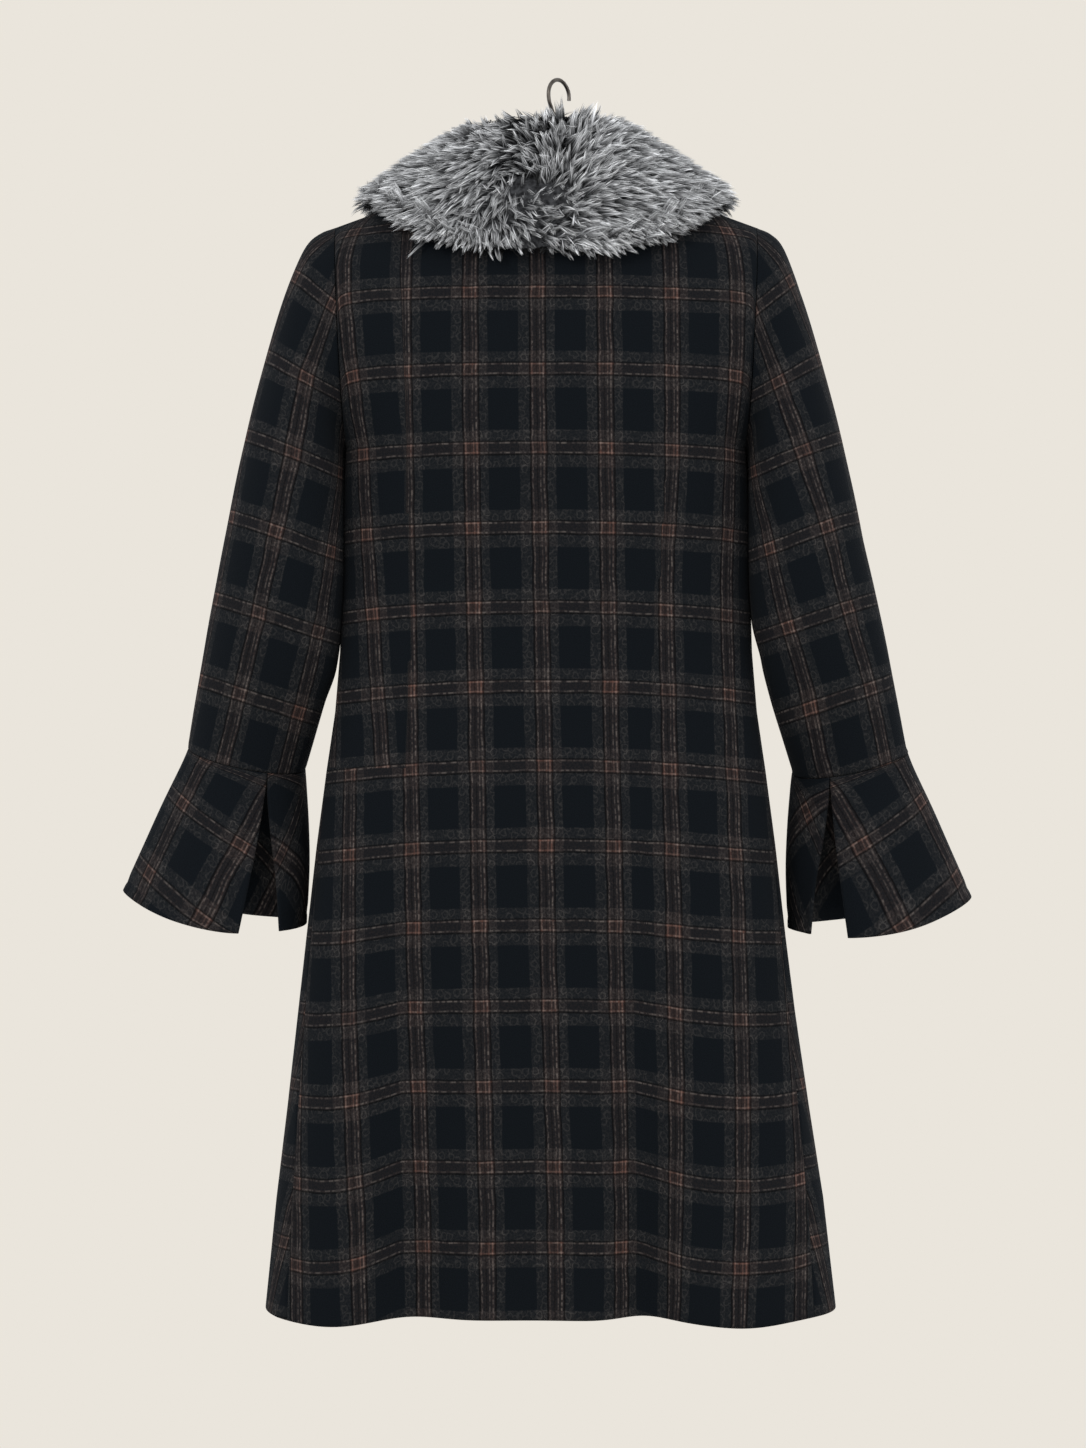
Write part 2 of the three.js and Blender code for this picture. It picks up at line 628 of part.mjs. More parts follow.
function hookGeometry() {
  const arcCentreZ = WIRE_RADIUS - HOOK_RADIUS;
  const arcStep = (180 - HOOK_TIP_ANGLE) / HOOK_ARC_STEPS;
  const bend = [];
  for (let angle = HOOK_TIP_ANGLE; angle <= 180; angle += arcStep) {
    bend.push({ out: -HOOK_RADIUS * cosDeg(angle), z: arcCentreZ + HOOK_RADIUS * sinDeg(angle) });
  }
  const line = [...bend, ...HOOK_NECK].map(
    ({ out, z }) => new THREE.Vector3(out * cosDeg(HOOK_TURN), out * sinDeg(HOOK_TURN), z),
  );
  line.push(...HOOK_STEM.map(({ x, z }) => new THREE.Vector3(x, 0, z)));
  const section = new THREE.Shape();
  section.absarc(0, 0, WIRE_RADIUS, 0, Math.PI * 2, false);
  const extrudePath = new THREE.CatmullRomCurve3(line);
  return sealed(new THREE.ExtrudeGeometry(section, { steps: 36, curveSegments: 4, extrudePath }));
}

const HANGER_TOP_Z = -80.4; // the flat on which the hook's stem ends
const HANGER_BEVEL = 3;

// The hanger's outline on its left half, from the top of its middle round the shoulder to the bottom.
// Its upper edge keeps under the shoulder seams.
function hangerOutline() {
  const end = HANGER_HALF_WIDTH;
  const upper = (x) => SHOULDER_Z + (SHOULDER_X - x) * slopeTan - HANGER_DROP;
  return [
    { x: 0, z: HANGER_TOP_Z },
    { x: 14, z: HANGER_TOP_Z },
    { x: 22, z: HANGER_TOP_Z - 4 },
    { x: 34, z: upper(34) - 6 },
    { x: 60, z: upper(60) },
    { x: 110, z: upper(110) },
    { x: end - 12, z: upper(end - 12) },
    { x: end - 3, z: upper(end - 3) - 2 },
    { x: end, z: upper(end) - 8 },
    { x: end - 4, z: upper(end) - 15 },
    { x: end - 14, z: upper(end) - 17 },
    { x: 110, z: upper(110) - 22 },
    { x: 60, z: upper(60) - 27 },
    { x: 24, z: upper(60) - 24 },
    { x: 0, z: upper(60) - 22 },
  ];
}

function hangerGeometry() {
  const left = hangerOutline();
  const right = left.slice(1, -1).reverse().map(({ x, z }) => ({ x: -x, z }));
  const shape = new THREE.Shape([...left, ...right].map(({ x, z }) => new THREE.Vector2(x, z)));
  shape.closePath();
  const geometry = new THREE.ExtrudeGeometry(shape, {
    depth: HANGER_THICKNESS - 2 * HANGER_BEVEL,
    bevelThickness: HANGER_BEVEL,
    bevelSize: HANGER_BEVEL,
    bevelOffset: -HANGER_BEVEL,
    bevelSegments: 2,
  });
  geometry.translate(0, 0, HANGER_BEVEL - HANGER_THICKNESS / 2);
  geometry.rotateX(Math.PI / 2);
  return sealed(geometry);
}

// Assembly

const MATERIALS = {
  wool: { color: 0x1f2427, roughness: 0.95, metalness: 0 },
  fur: { color: 0x8b8c8b, roughness: 0.9, metalness: 0 },
  horn: { color: 0x191514, roughness: 0.4, metalness: 0 },
  wood: { color: 0x2a211b, roughness: 0.55, metalness: 0 },
  steel: { color: 0x6f655c, roughness: 0.35, metalness: 1 },
};

function piece(name, geometry, finish) {
  const mesh = new THREE.Mesh(geometry, new THREE.MeshStandardMaterial(MATERIALS[finish]));
  mesh.name = name;
  return mesh;
}

const coat = new THREE.Group();
coat.position.x = COAT_X;
coat.add(piece("back", bodyPanel(backSurface, backColumns, -1), "wool"));
for (const [name, side] of [["left", 1], ["right", -1]]) {
  const front = (u, v) => frontSurface(side, u, v);
  coat.add(piece(`front_${name}`, bodyPanel(front, frontColumns, side), "wool"));
  const sleeve = (u, v) => sleeveSurface(side, u, v);
  coat.add(piece(`sleeve_${name}`, tubeWall(sleeve, SLEEVE_RINGS, SLEEVE_COLUMNS, true), "wool"));
  const cuff = (u, v) => cuffSurface(side, u, v);
  coat.add(piece(`cuff_${name}`, tubeWall(cuff, CUFF_RINGS, CUFF_COLUMNS, false), "wool"));
}
coat.add(piece("collar", collarGeometry(), "fur"));
for (let i = 0; i < BUTTON_COUNT; i++) {
  const button = piece(`button_${i + 1}`, buttonGeometry(), "horn");
  placeButton(button, BUTTON_FIRST_Z - BUTTON_PITCH * i);
  coat.add(button);
}
coat.add(piece("hanger", hangerGeometry(), "wood"));

const root = new THREE.Group();
root.add(coat, piece("hook", hookGeometry(), "steel"));

export default root;
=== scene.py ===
# The looks of a knee-length checked wool coat with a fur collar, hung on a hanger.
# Lengths are millimetres in the tables and formulas, and metres in every object.
# The camera stands behind the coat, at +Y, and the front of the coat faces -Y.
import math
from functools import reduce

import bpy
import numpy as np
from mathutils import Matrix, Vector
from mathutils.bvhtree import BVHTree


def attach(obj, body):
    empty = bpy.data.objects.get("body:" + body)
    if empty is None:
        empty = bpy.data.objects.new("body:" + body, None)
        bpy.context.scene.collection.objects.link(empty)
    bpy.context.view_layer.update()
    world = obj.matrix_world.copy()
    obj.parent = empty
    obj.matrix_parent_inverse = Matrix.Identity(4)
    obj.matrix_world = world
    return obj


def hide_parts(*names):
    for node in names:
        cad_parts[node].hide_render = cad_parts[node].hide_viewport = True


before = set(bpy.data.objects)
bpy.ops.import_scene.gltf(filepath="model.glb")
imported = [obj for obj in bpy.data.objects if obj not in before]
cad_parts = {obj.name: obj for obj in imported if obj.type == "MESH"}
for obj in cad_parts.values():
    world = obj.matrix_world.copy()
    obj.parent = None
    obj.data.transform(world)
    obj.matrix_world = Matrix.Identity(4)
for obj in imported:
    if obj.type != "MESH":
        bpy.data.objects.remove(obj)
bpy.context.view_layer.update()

MM = 0.001

# Camera, light and floor, in metres

CAMERA_DISTANCE = 3.0
CAMERA_X = 0.0148
CAMERA_Z = -0.597
LONG_SIDE_SEEN = 1.3466  # how much of the coat's plane the picture's height takes in
SENSOR = 36.0  # in millimetres
BACKDROP = (0.823, 0.783, 0.716)
STUDIO_LIGHT = (0.74, 0.76, 0.79)
FLOOR_X = (-1.6, 1.6)
FLOOR_Y = (-1.15, 2.6)
FLOOR_Z = -1.75

# name, place, the point it shines at, side and watts
LIGHTS = [
    ("key", (1.4, 2.6, 0.9), (0, 0, -0.45), 1.2, 20),
    ("fill", (-2.2, 1.4, -0.2), (0, 0, -0.6), 1.6, 7),
    ("front_key", (-1.4, -2.6, 0.9), (0, 0, -0.45), 1.4, 22),
]

scene = bpy.context.scene


def new_object(name, data):
    made = bpy.data.objects.new(name, data)
    scene.collection.objects.link(made)
    return made


def finished_mesh(source):
    """A source's mesh with its modifiers applied, or its curve's as a mesh."""
    return bpy.data.meshes.new_from_object(source.evaluated_get(bpy.context.evaluated_depsgraph_get()))


camera_data = bpy.data.cameras.new("camera")
camera_data.sensor_width = SENSOR
camera_data.lens = SENSOR * CAMERA_DISTANCE / LONG_SIDE_SEEN
camera = new_object("camera", camera_data)
camera.location = (CAMERA_X, CAMERA_DISTANCE, CAMERA_Z)
camera.rotation_euler = (math.radians(90), 0, math.radians(180))
scene.camera = camera
scene.view_settings.view_transform = "Standard"

world = scene.world or bpy.data.worlds.new("studio")
scene.world = world
world.use_nodes = True
backdrop_node = next(n for n in world.node_tree.nodes if n.type == "BACKGROUND")
backdrop_node.inputs["Strength"].default_value = 1.0
seen = world.node_tree.nodes.new("ShaderNodeLightPath")
choice = world.node_tree.nodes.new("ShaderNodeMixRGB")
choice.inputs["Color1"].default_value = (*STUDIO_LIGHT, 1)
choice.inputs["Color2"].default_value = (*BACKDROP, 1)
world.node_tree.links.new(seen.outputs["Is Camera Ray"], choice.inputs["Fac"])
world.node_tree.links.new(choice.outputs[0], backdrop_node.inputs["Color"])


def area_light(name, place, aim, size, power):
    data = bpy.data.lights.new(name, "AREA")
    data.size = size
    data.energy = power
    light = new_object(name, data)
    light.location = place
    light.rotation_euler = (Vector(aim) - Vector(place)).to_track_quat("-Z", "Y").to_euler()


for light_row in LIGHTS:
    area_light(*light_row)

# Sizes and tables of the cloth, the same as the solids'

SIDES = {"left": 1, "right": -1}
CLOTH = 2.5
SEAM_GAP = 0.5
COAT_X = 12
HEM_Z = -1128
ARMPIT_Z = -342
ARMPIT_X = 185
SHOULDER_X = 195
SHOULDER_Z = -136
SHOULDER_TAN = math.tan(math.radians(20))
SHOULDER_ROUNDING = 2.2
UPPER_ROUNDING = 0.6
ARMHOLE_HALF_DEPTH = 60
NECK_HALF_WIDTH = 72
NECK_Z = SHOULDER_Z + (SHOULDER_X - NECK_HALF_WIDTH) * SHOULDER_TAN
CENTRE_OVERLAP = 28
LAYER_STEP = CLOTH + 1.3

# z, half width, back depth, front depth, boxiness, side seam's angle, middle
BODY_ROWS = np.array([
    (-342, 185, 96, 112, 0.62, 90, 0),
    (-400, 188.5, 93, 111, 0.63, 89, 0),
    (-470, 189.5, 89, 106, 0.66, 88, 0),
    (-530, 191, 89, 103, 0.66, 86, 0),
    (-585, 195.5, 92, 105, 0.65, 84, 0),
    (-640, 203.5, 98, 108, 0.63, 82, 0),
    (-710, 212.5, 105, 113, 0.59, 79, 0),
    (-793, 221.5, 112, 117, 0.55, 76, 0),
    (-863, 229.5, 118, 120, 0.51, 74, -0.5),
    (-947, 240, 126, 123, 0.46, 71, -2),
    (-1030, 251, 134, 126, 0.41, 68, -3.5),
    (HEM_Z, 261, 142, 129, 0.37, 65, -4.2),
])

# side (1 back, -1 front), x, depth, drop, width, top
FOLDS = [
    (1, 196, 8, 7, 52, -620),
    (1, -180, 8, 7, 50, -620),
    (1, 122, -32, 0, 40, -600),
    (1, -88, -32, -1, 30, -620),
    (1, 12, -20, 1, 75, -620),
    (-1, 118, -22, 0, 40, -700),
    (-1, -122, -20, 0, 42, -680),
]
FOLD_FULL_Z = HEM_Z - 140

# Rings of the left sleeve: inside x and z, outside x and z, half depth, middle y, dip
SLEEVE_ROWS = np.array([
    (185, -342, 195, -136, 60, 0, 0),
    (187.2, -346, 208.5, -141, 63, 0, 0),
    (188.6, -351, 221, -152, 65, 2, 0),
    (189.4, -357, 232.5, -176, 67, 5, 0),
    (189.6, -366, 245, -212, 68, 10, 0),
    (189.6, -380, 258.5, -261, 67, 16, 0),
    (189.4, -402, 272, -315, 65, 22, 1),
    (189.6, -436, 285.5, -377, 63, 26, 2),
    (190.6, -480, 298, -440, 61, 25, 4),
    (194.6, -528, 309.5, -496, 59, 18, 6),
    (203, -568, 319, -544, 56, 6, 7),
    (214, -605, 327, -582, 53, -7, 8),
    (225, -640, 334, -618, 51, -18, 9),
])

# Rings of the left cuff: as above, then sag, slit's outer edge, slit's inner edge, turn on the right cuff
CUFF_ROWS = np.array([
    (225, -640, 334, -618, 51, -18, 9, 0, 114.6, 115.4, 0),
    (223.5, -656, 341, -635, 56, -18, 8, 3, 114, 116.6, 1),
    (221, -692, 358, -671, 66, -17, 7, 7, 112.4, 123.2, 3),
    (220, -732, 375.5, -711, 76, -16, 5, 10, 110.6, 131, 5),
    (222, -782, 393, -751, 85, -14, 4, 13, 109, 138.6, 7),
])

# share of the arm, then how far its inside, its outside and the whole ring move on the right arm
RIGHT_ARM = np.array([
    (0, 0, 0, 0),
    (0.3, 0, -5, 0),
    (0.65, 0.5, -4, 0),
    (0.8, 3, 0, 2),
    (1, 5, 4, 4),
])


def mix(a, b, t):
    return a + (b - a) * t


def smooth(a, b, x):
    t = np.clip((x - a) / (b - a), 0, 1)
    return t * t * (3 - 2 * t)


def bell(x, centre, width):
    return np.exp(-(((x - centre) / width) ** 2))


def body_row(z):
    """The values of the body's table at each z, as arrays."""
    rising = BODY_ROWS[::-1]
    return [np.interp(z, rising[:, 0], rising[:, k]) for k in range(1, 7)]


def curve_row(rows, share):
    """A table read as a smooth curve, share 0 at its first row and 1 at its last."""
    place = np.clip(share, 0, 1) * (len(rows) - 1)
    i = np.minimum(place.astype(int), len(rows) - 2)
    t = (place - i)[..., None]
    start = rows[i]
    end = rows[i + 1]
    slope_start = (end - rows[np.maximum(i - 1, 0)]) / 2
    slope_end = (rows[np.minimum(i + 2, len(rows) - 1)] - start) / 2
    rise = end - start
    bend = 3 * rise - 2 * slope_start - slope_end
    twist = slope_start + slope_end - 2 * rise
    return np.moveaxis(start + slope_start * t + bend * t**2 + twist * t**3, -1, 0)


def body_section(angle, z):
    """Points of the body at angles from the centre back, in degrees, below the armpit."""
    half, back, front, boxy, _, middle = body_row(z)
    x = middle + half * np.sin(np.radians(angle))
    c = np.cos(np.radians(angle))
    side = np.where(c >= 0, 1, -1)
    depth = np.where(c >= 0, back, front) * np.abs(c) ** boxy
    drop = np.zeros_like(z)
    for fold_side, fold_x, fold_depth, fold_drop, width, top in FOLDS:
        growth = smooth(top, FOLD_FULL_Z, z) * np.minimum(1, 3 * np.abs(c))
        share = np.where(side == fold_side, growth * bell(x, fold_x, width), 0)
        depth = depth + fold_depth * share
        drop = drop + fold_drop * share
    return np.stack([x, side * depth, z - drop])


# sign of y, depth, neck depth, neck drop, neck stand
UPPER_BACK = (1, 96, 62, 21, 3)
UPPER_FRONT = (-1, 112, 80, 74, 0)


def upper_point(half, angle, level):
    """Points above the armpit, at angles from a half's own centre line and levels from 0 to 1."""
    sign, depth, neck_depth, neck_drop, neck_stand = half
    x = mix(ARMPIT_X, SHOULDER_X, level) * np.sin(np.radians(angle))
    open_ = np.maximum(0, 1 - (x / NECK_HALF_WIDTH) ** 2)
    slope_z = SHOULDER_Z + (SHOULDER_X - np.abs(x)) * SHOULDER_TAN
    top_z = np.where(open_ > 0, NECK_Z - neck_drop * open_**0.8, slope_z)
    round_over = np.sqrt(np.maximum(0, 1 - level**SHOULDER_ROUNDING))
    neck = neck_depth * np.sqrt(open_) * level**neck_stand
    inside = mix(neck, depth, round_over)
    edge = ARMHOLE_HALF_DEPTH * 2 * np.sqrt(np.maximum(0, level * (1 - level)))
    boxy = BODY_ROWS[0, 4] + UPPER_ROUNDING * edge / ARMHOLE_HALF_DEPTH
    y = mix(edge, inside, np.abs(np.cos(np.radians(angle))) ** boxy)
    return np.stack([x, sign * y, mix(ARMPIT_Z, top_z, level)])


def back_surface(u, v):
    """u from -1 at the right side seam to 1 at the left one, v 0 hem, 1 armpit, 2 shoulder."""
    z = mix(HEM_Z, ARMPIT_Z, np.minimum(v, 1))
    lower = body_section(u * body_row(z)[4], z)
    upper = upper_point(UPPER_BACK, u * 90, np.clip(v - 1, 0, 1))
    return np.where(v > 1, upper, lower)


def front_surface(side, u, v):
    """u from 1 at the side seam through 0 at the centre front to -1 at the front edge."""
    z = mix(HEM_Z, ARMPIT_Z, np.minimum(v, 1))
    half, _, _, _, seam, _ = body_row(z)
    past = np.degrees(np.arcsin(CENTRE_OVERLAP / half))
    span = np.where(v > 1, 90, 180 - seam)
    from_centre = u * np.where(u >= 0, span, past)
    lower = body_section(180 - side * from_centre, z)
    upper = upper_point(UPPER_FRONT, side * from_centre, np.clip(v - 1, 0, 1))
    point = np.where(v > 1, upper, lower)
    if side > 0:
        under = 1 - smooth(CENTRE_OVERLAP + 4, CENTRE_OVERLAP + 46, point[0])
        point[1] += LAYER_STEP * under
        point[2] -= LAYER_STEP * under * smooth(1.4, 2, v)
    return point


def ring_point(ring, side, angle, share):
    """Points of a ring at angles from the outside towards the back. share moves only the right arm."""
    in_x, in_z, out_x, out_z, depth, mid_y, dip = ring[:7]
    sag = ring[7] if len(ring) > 7 else 0
    c = np.cos(np.radians(angle))
    s = np.sin(np.radians(angle))
    x = (in_x + out_x) / 2 + (out_x - in_x) / 2 * c
    y = mid_y + depth * s
    z = (in_z + out_z) / 2 + (out_z - in_z) / 2 * c - dip * s - sag * s * s
    if side < 0:
        inside, outside, down = (np.interp(share, RIGHT_ARM[:, 0], RIGHT_ARM[:, k]) for k in (1, 2, 3))
        x = x + mix(inside, outside, (1 + c) / 2)
        z = z - down
    return np.stack([side * x, y, z])


# Building pieces

SEAM_SHARE = 0.9996  # where two body panels meet at a side seam, as a share of a panel's width


def grid(rows, columns):
    """The shares down and across a surface, as two arrays."""
    v, u = np.meshgrid(rows, columns, indexing="ij")
    return u, v


def grid_normals(points, outward):
    """Unit normals of a grid of points, turned to the side that outward gives."""
    down = np.gradient(points, axis=1)
    across = np.gradient(points, axis=2)
    normal = np.cross(across, down, axis=0)
    normal /= np.maximum(np.linalg.norm(normal, axis=0), 1e-9)
    flip = np.sign(np.sum(normal * outward, axis=0))
    return normal * np.where(flip == 0, 1, flip)


def mesh_object(name, points, faces, uv, materials):
    """A mesh object from points in metres, with a UV value for each point."""
    mesh = bpy.data.meshes.new(name)
    mesh.from_pydata(points.tolist(), [], faces)
    layer = mesh.uv_layers.new(name="cloth")
    corners = np.empty(len(mesh.loops), dtype=np.int32)
    mesh.loops.foreach_get("vertex_index", corners)
    layer.data.foreach_set("uv", uv[corners].astype(np.float32).ravel())
    for material in materials:
        mesh.materials.append(material)
    return new_object(name, mesh)


def make_smooth(mesh):
    mesh.polygons.foreach_set("use_smooth", np.ones(len(mesh.polygons), dtype=bool))


def wall(name, outer, normals, uv, materials):
    """A closed cloth wall from a grid of outer points in millimetres, its inside on the second material."""
    _, rows, columns = outer.shape
    inner = outer - normals * CLOTH
    count = rows * columns
    points = np.concatenate([outer.reshape(3, -1), inner.reshape(3, -1)], axis=1).T * MM
    points[:, 0] += COAT_X * MM
    index = np.arange(count).reshape(rows, columns)
    corner = [index[:-1, :-1], index[:-1, 1:], index[1:, 1:], index[1:, :-1]]
    outside = np.stack([c.ravel() for c in corner], axis=1)
    first = outside[0]
    a, b, c = points[first[:3]]
    facing = np.dot(np.cross(b - a, c - a), normals.reshape(3, -1)[:, first[0]])
    if facing < 0:
        outside = outside[:, ::-1]
    inside = outside[:, ::-1] + count
    rims = []
    for line in (index[0], index[:, -1], index[-1, ::-1], index[::-1, 0]):
        rim = np.stack([line[:-1], line[1:], line[1:] + count, line[:-1] + count], axis=1)
        rims.append(rim[:, ::-1] if facing > 0 else rim)
    rims = np.concatenate(rims)
    faces = np.concatenate([outside, inside, rims])
    kinds = np.repeat([0, 1, 0], [len(outside), len(inside), len(rims)]).astype(np.int32)
    both = np.concatenate([uv.reshape(2, -1), uv.reshape(2, -1)], axis=1).T
    made = mesh_object(name, points, faces.tolist(), both, materials)
    make_smooth(made.data)
    made.data.polygons.foreach_set("material_index", kinds)
    made.data.validate()
    made.data.update()
    return made


# Materials


class Shader:
    """A material and short ways to add its nodes."""

    def __init__(self, name, roughness, specular=0.3):
        self.material = bpy.data.materials.new(name)
        self.material.use_nodes = True
        self.tree = self.material.node_tree
        self.surface = next(n for n in self.tree.nodes if n.type == "BSDF_PRINCIPLED")
        self.surface.inputs["Roughness"].default_value = roughness
        self.surface.inputs["Specular IOR Level"].default_value = specular

    def node(self, kind, inputs=(), **settings):
        made = self.tree.nodes.new(kind)
        for key, value in settings.items():
            setattr(made, key, value)
        for key, value in dict(inputs).items():
            self.put(made.inputs[key], value)
        return made

    def put(self, socket, value):
        if isinstance(value, bpy.types.NodeSocket):
            self.tree.links.new(value, socket)
        else:
            socket.default_value = value

    def math(self, operation, *values):
        made = self.tree.nodes.new("ShaderNodeMath")
        made.operation = operation
        for socket, value in zip(made.inputs, values):
            self.put(socket, value)
        return made.outputs[0]

    def total(self, *values):
        return reduce(lambda a, b: self.math("ADD", a, b), values)

    def product(self, *values):
        return reduce(lambda a, b: self.math("MULTIPLY", a, b), values)

    def vector_math(self, operation, inputs):
        return self.node("ShaderNodeVectorMath", inputs, operation=operation).outputs[0]

    def tint(self, colour, strength):
        """A colour times a strength, both either a value or a socket."""
        return self.vector_math("SCALE", {0: colour, "Scale": strength})

    def add_colours(self, *values):
        return reduce(lambda a, b: self.vector_math("ADD", {0: a, 1: b}), values)

    def ramp(self, factor, stops):
        made = self.node("ShaderNodeValToRGB", {0: factor})
        elements = made.color_ramp.elements
        while len(elements) < len(stops):
            elements.new(0.5)
        for element, (place, value) in zip(elements, stops):
            element.position = place
            level = value if hasattr(value, "__len__") else (value, value, value)
            element.color = (*level, 1)
        return made.outputs[0]

    def profile(self, place, marks):
        """Bars across one repeat. Each mark is its centre, half width and strength, in shares of it."""
        edge = 0.006
        stops = [(0, 0)]
        for centre, half, strength in marks:
            stops += [
                (0.5 + centre - half - edge, 0),
                (0.5 + centre - half + edge, strength),
                (0.5 + centre + half - edge, strength),
                (0.5 + centre + half + edge, 0),
            ]
        return self.ramp(place, stops + [(1, 0)])

    def profiles(self, places, bars):
        """The bars across and down the check, from a table with a list of marks for each."""
        return [self.profile(place, marks) for place, marks in zip(places, bars)]

    def noise(self, vector, scale, detail=2.0, dimensions="3D"):
        key = "W" if dimensions == "1D" else "Vector"
        inputs = {key: vector, "Scale": scale, "Detail": detail}
        return self.node("ShaderNodeTexNoise", inputs, noise_dimensions=dimensions).outputs[0]

    def bump(self, height, distance, strength):
        made = self.node("ShaderNodeBump", {"Height": height, "Distance": distance, "Strength": strength})
        self.put(self.surface.inputs["Normal"], made.outputs[0])

    def colour(self, value):
        self.put(self.surface.inputs["Base Color"], value)

    def object_place(self):
        return self.node("ShaderNodeTexCoord").outputs["Object"]

    def cloth_place(self):
        """The piece's UV as one vector, and its two parts."""
        uv = self.node("ShaderNodeUVMap", uv_map="cloth").outputs[0]
        parts = self.node("ShaderNodeSeparateXYZ", {0: uv})
        return uv, parts.outputs[0], parts.outputs[1]


def clouded(name, roughness, specular, scale, detail, stops, relief=None, stretch=None):
    """A material with clouds of colour, and a relief in the same clouds as its height and strength."""
    s = Shader(name, roughness, specular)
    place = s.object_place()
    if stretch:
        place = s.node("ShaderNodeMapping", {"Vector": place, "Scale": stretch}).outputs[0]
    cloud = s.noise(place, scale, detail)
    s.colour(s.ramp(cloud, stops))
    if relief:
        s.bump(cloud, *relief)
    return s


# The check's repeat, in millimetres of cloth
REPEAT_ACROSS = 61.0
REPEAT_DOWN = 71.6
FIRST_BAND = 205.0  # the depth of a horizontal band's middle under the hook's top

BLOCK = (0.0064, 0.0084, 0.0108)
MARGIN = (0.0090, 0.0081, 0.0073)
BAND = (0.0105, 0.0068, 0.0052)
CROSSING = (0.0105, 0.0040, 0.0024)
LIGHT_THREAD = (0.082, 0.070, 0.061)
RUST_THREAD = (0.056, 0.022, 0.014)

# Bars across, then down the check: each bar's middle, half width and strength, in shares of a repeat
BAND_BARS = ([(0, 0.125, 1)], [(0, 0.082, 1)])
MARGIN_BARS = ([(-0.19, 0.062, 1), (0.21, 0.078, 0.95)], [(-0.155, 0.072, 1), (0.16, 0.082, 0.95)])
DARK_BARS = (
    [(-0.118, 0.010, 1), (0.020, 0.009, 0.6), (0.118, 0.011, 1)],
    [(-0.086, 0.009, 0.9), (0.082, 0.010, 1)],
)
LIGHT_BARS = (
    [(-0.080, 0.011, 1), (-0.028, 0.008, 0.7), (0.088, 0.010, 0.8)],
    [(-0.064, 0.009, 1), (0.056, 0.009, 0.85)],
)
RHYTHMS_IN_REPEAT = 22  # places across a repeat where the dashes along a thread change


def dashes(s, along, across, pace, shift):
    """Dashes along the light threads, in another rhythm for each thread."""
    thread = s.product(s.math("FLOOR", s.product(across, RHYTHMS_IN_REPEAT)), shift)
    place = s.total(s.product(along, pace), thread)
    return s.ramp(s.noise(place, 1, 1, "1D"), [(0.43, 0.10), (0.57, 1)])


def yarn_loops(s, uv):
    """Loops of the margins' yarn, as rings round scattered points."""
    stray = s.node("ShaderNodeTexNoise", {"Vector": uv, "Scale": 16, "Detail": 1}).outputs["Color"]
    wander = s.tint(s.vector_math("SUBTRACT", {0: stray, 1: (0.5, 0.5, 0.5)}), 0.07)
    inputs = {"Vector": s.add_colours(uv, wander), "Scale": 7.5}
    cells = s.node("ShaderNodeTexVoronoi", inputs, voronoi_dimensions="2D")
    return s.ramp(cells.outputs["Distance"], [(0.22, 0), (0.30, 1), (0.35, 1), (0.43, 0)])


def wool_material():
    """Brushed checked wool. The UV counts repeats of the check, with a band's middle at whole numbers."""
    s = Shader("checked_wool", 0.95, 0.03)
    s.surface.inputs["Sheen Weight"].default_value = 0.015
    s.surface.inputs["Sheen Roughness"].default_value = 0.6
    uv, across, down = s.cloth_place()
    sway = s.product(s.math("SUBTRACT", s.noise(uv, 2.3, 2), 0.5), 0.05)
    across = s.total(across, sway)
    down = s.total(down, s.product(sway, 0.6))
    places = [s.math("FRACT", s.total(place, 0.5)) for place in (across, down)]
    band_v, band_h = s.profiles(places, BAND_BARS)
    margin_v, margin_h = s.profiles(places, MARGIN_BARS)
    dark_v, dark_h = s.profiles(places, DARK_BARS)
    light_v, light_h = s.profiles(places, LIGHT_BARS)

    stretches = s.ramp(s.noise(uv, 4.3, 2), [(0.38, 0.35), (0.62, 1.15)])
    light = s.total(
        s.product(light_v, dashes(s, down, across, 15, 7.3), stretches),
        s.product(light_h, dashes(s, across, down, 13, 5.7), stretches),
    )
    ring = yarn_loops(s, uv)
    grain = s.noise(uv, 60, 3)
    speck = s.ramp(s.noise(uv, 34, 3), [(0.42, 0.0), (0.66, 1)])
    margins = s.total(margin_v, margin_h)
    curled = s.product(margins, s.total(s.product(ring, 1.6), speck, 0.40))

    # The bands pass through each other, and are reddest where they cross
    warm_patches = s.ramp(s.noise(uv, 1.1, 1), [(0.40, 0.35), (0.62, 1.15)])
    wide_v = s.total(band_v, s.product(margin_v, 0.45))
    wide_h = s.total(band_h, s.product(margin_h, 0.45))
    bands = s.product(s.total(band_v, s.product(band_h, 0.75)), s.total(s.product(speck, 0.9), 0.55))
    rust_v = s.product(light_v, s.total(s.product(band_h, 0.8), 0.16))
    rust_h = s.product(light_h, s.total(s.product(band_v, 0.8), 0.10))
    colour = s.add_colours(
        s.tint(BLOCK, s.total(s.product(grain, 0.7), 0.62)),
        s.tint(MARGIN, curled),
        s.tint(BAND, bands),
        s.tint(CROSSING, s.product(wide_v, wide_h, warm_patches)),
        s.tint(LIGHT_THREAD, light),
        s.tint(RUST_THREAD, s.product(s.total(rust_v, rust_h), warm_patches)),
    )
    dark = s.product(s.math("MAXIMUM", dark_v, dark_h), 0.62)
    s.colour(s.tint(colour, s.math("SUBTRACT", 1, dark)))
    relief = s.total(
        s.product(grain, 0.55),
        s.product(margins, ring, 0.5),
        s.product(light, 0.5),
        s.product(s.math("MAXIMUM", band_v, band_h), 0.1),
    )
    s.bump(relief, 0.0007, 0.8)
    return s.material


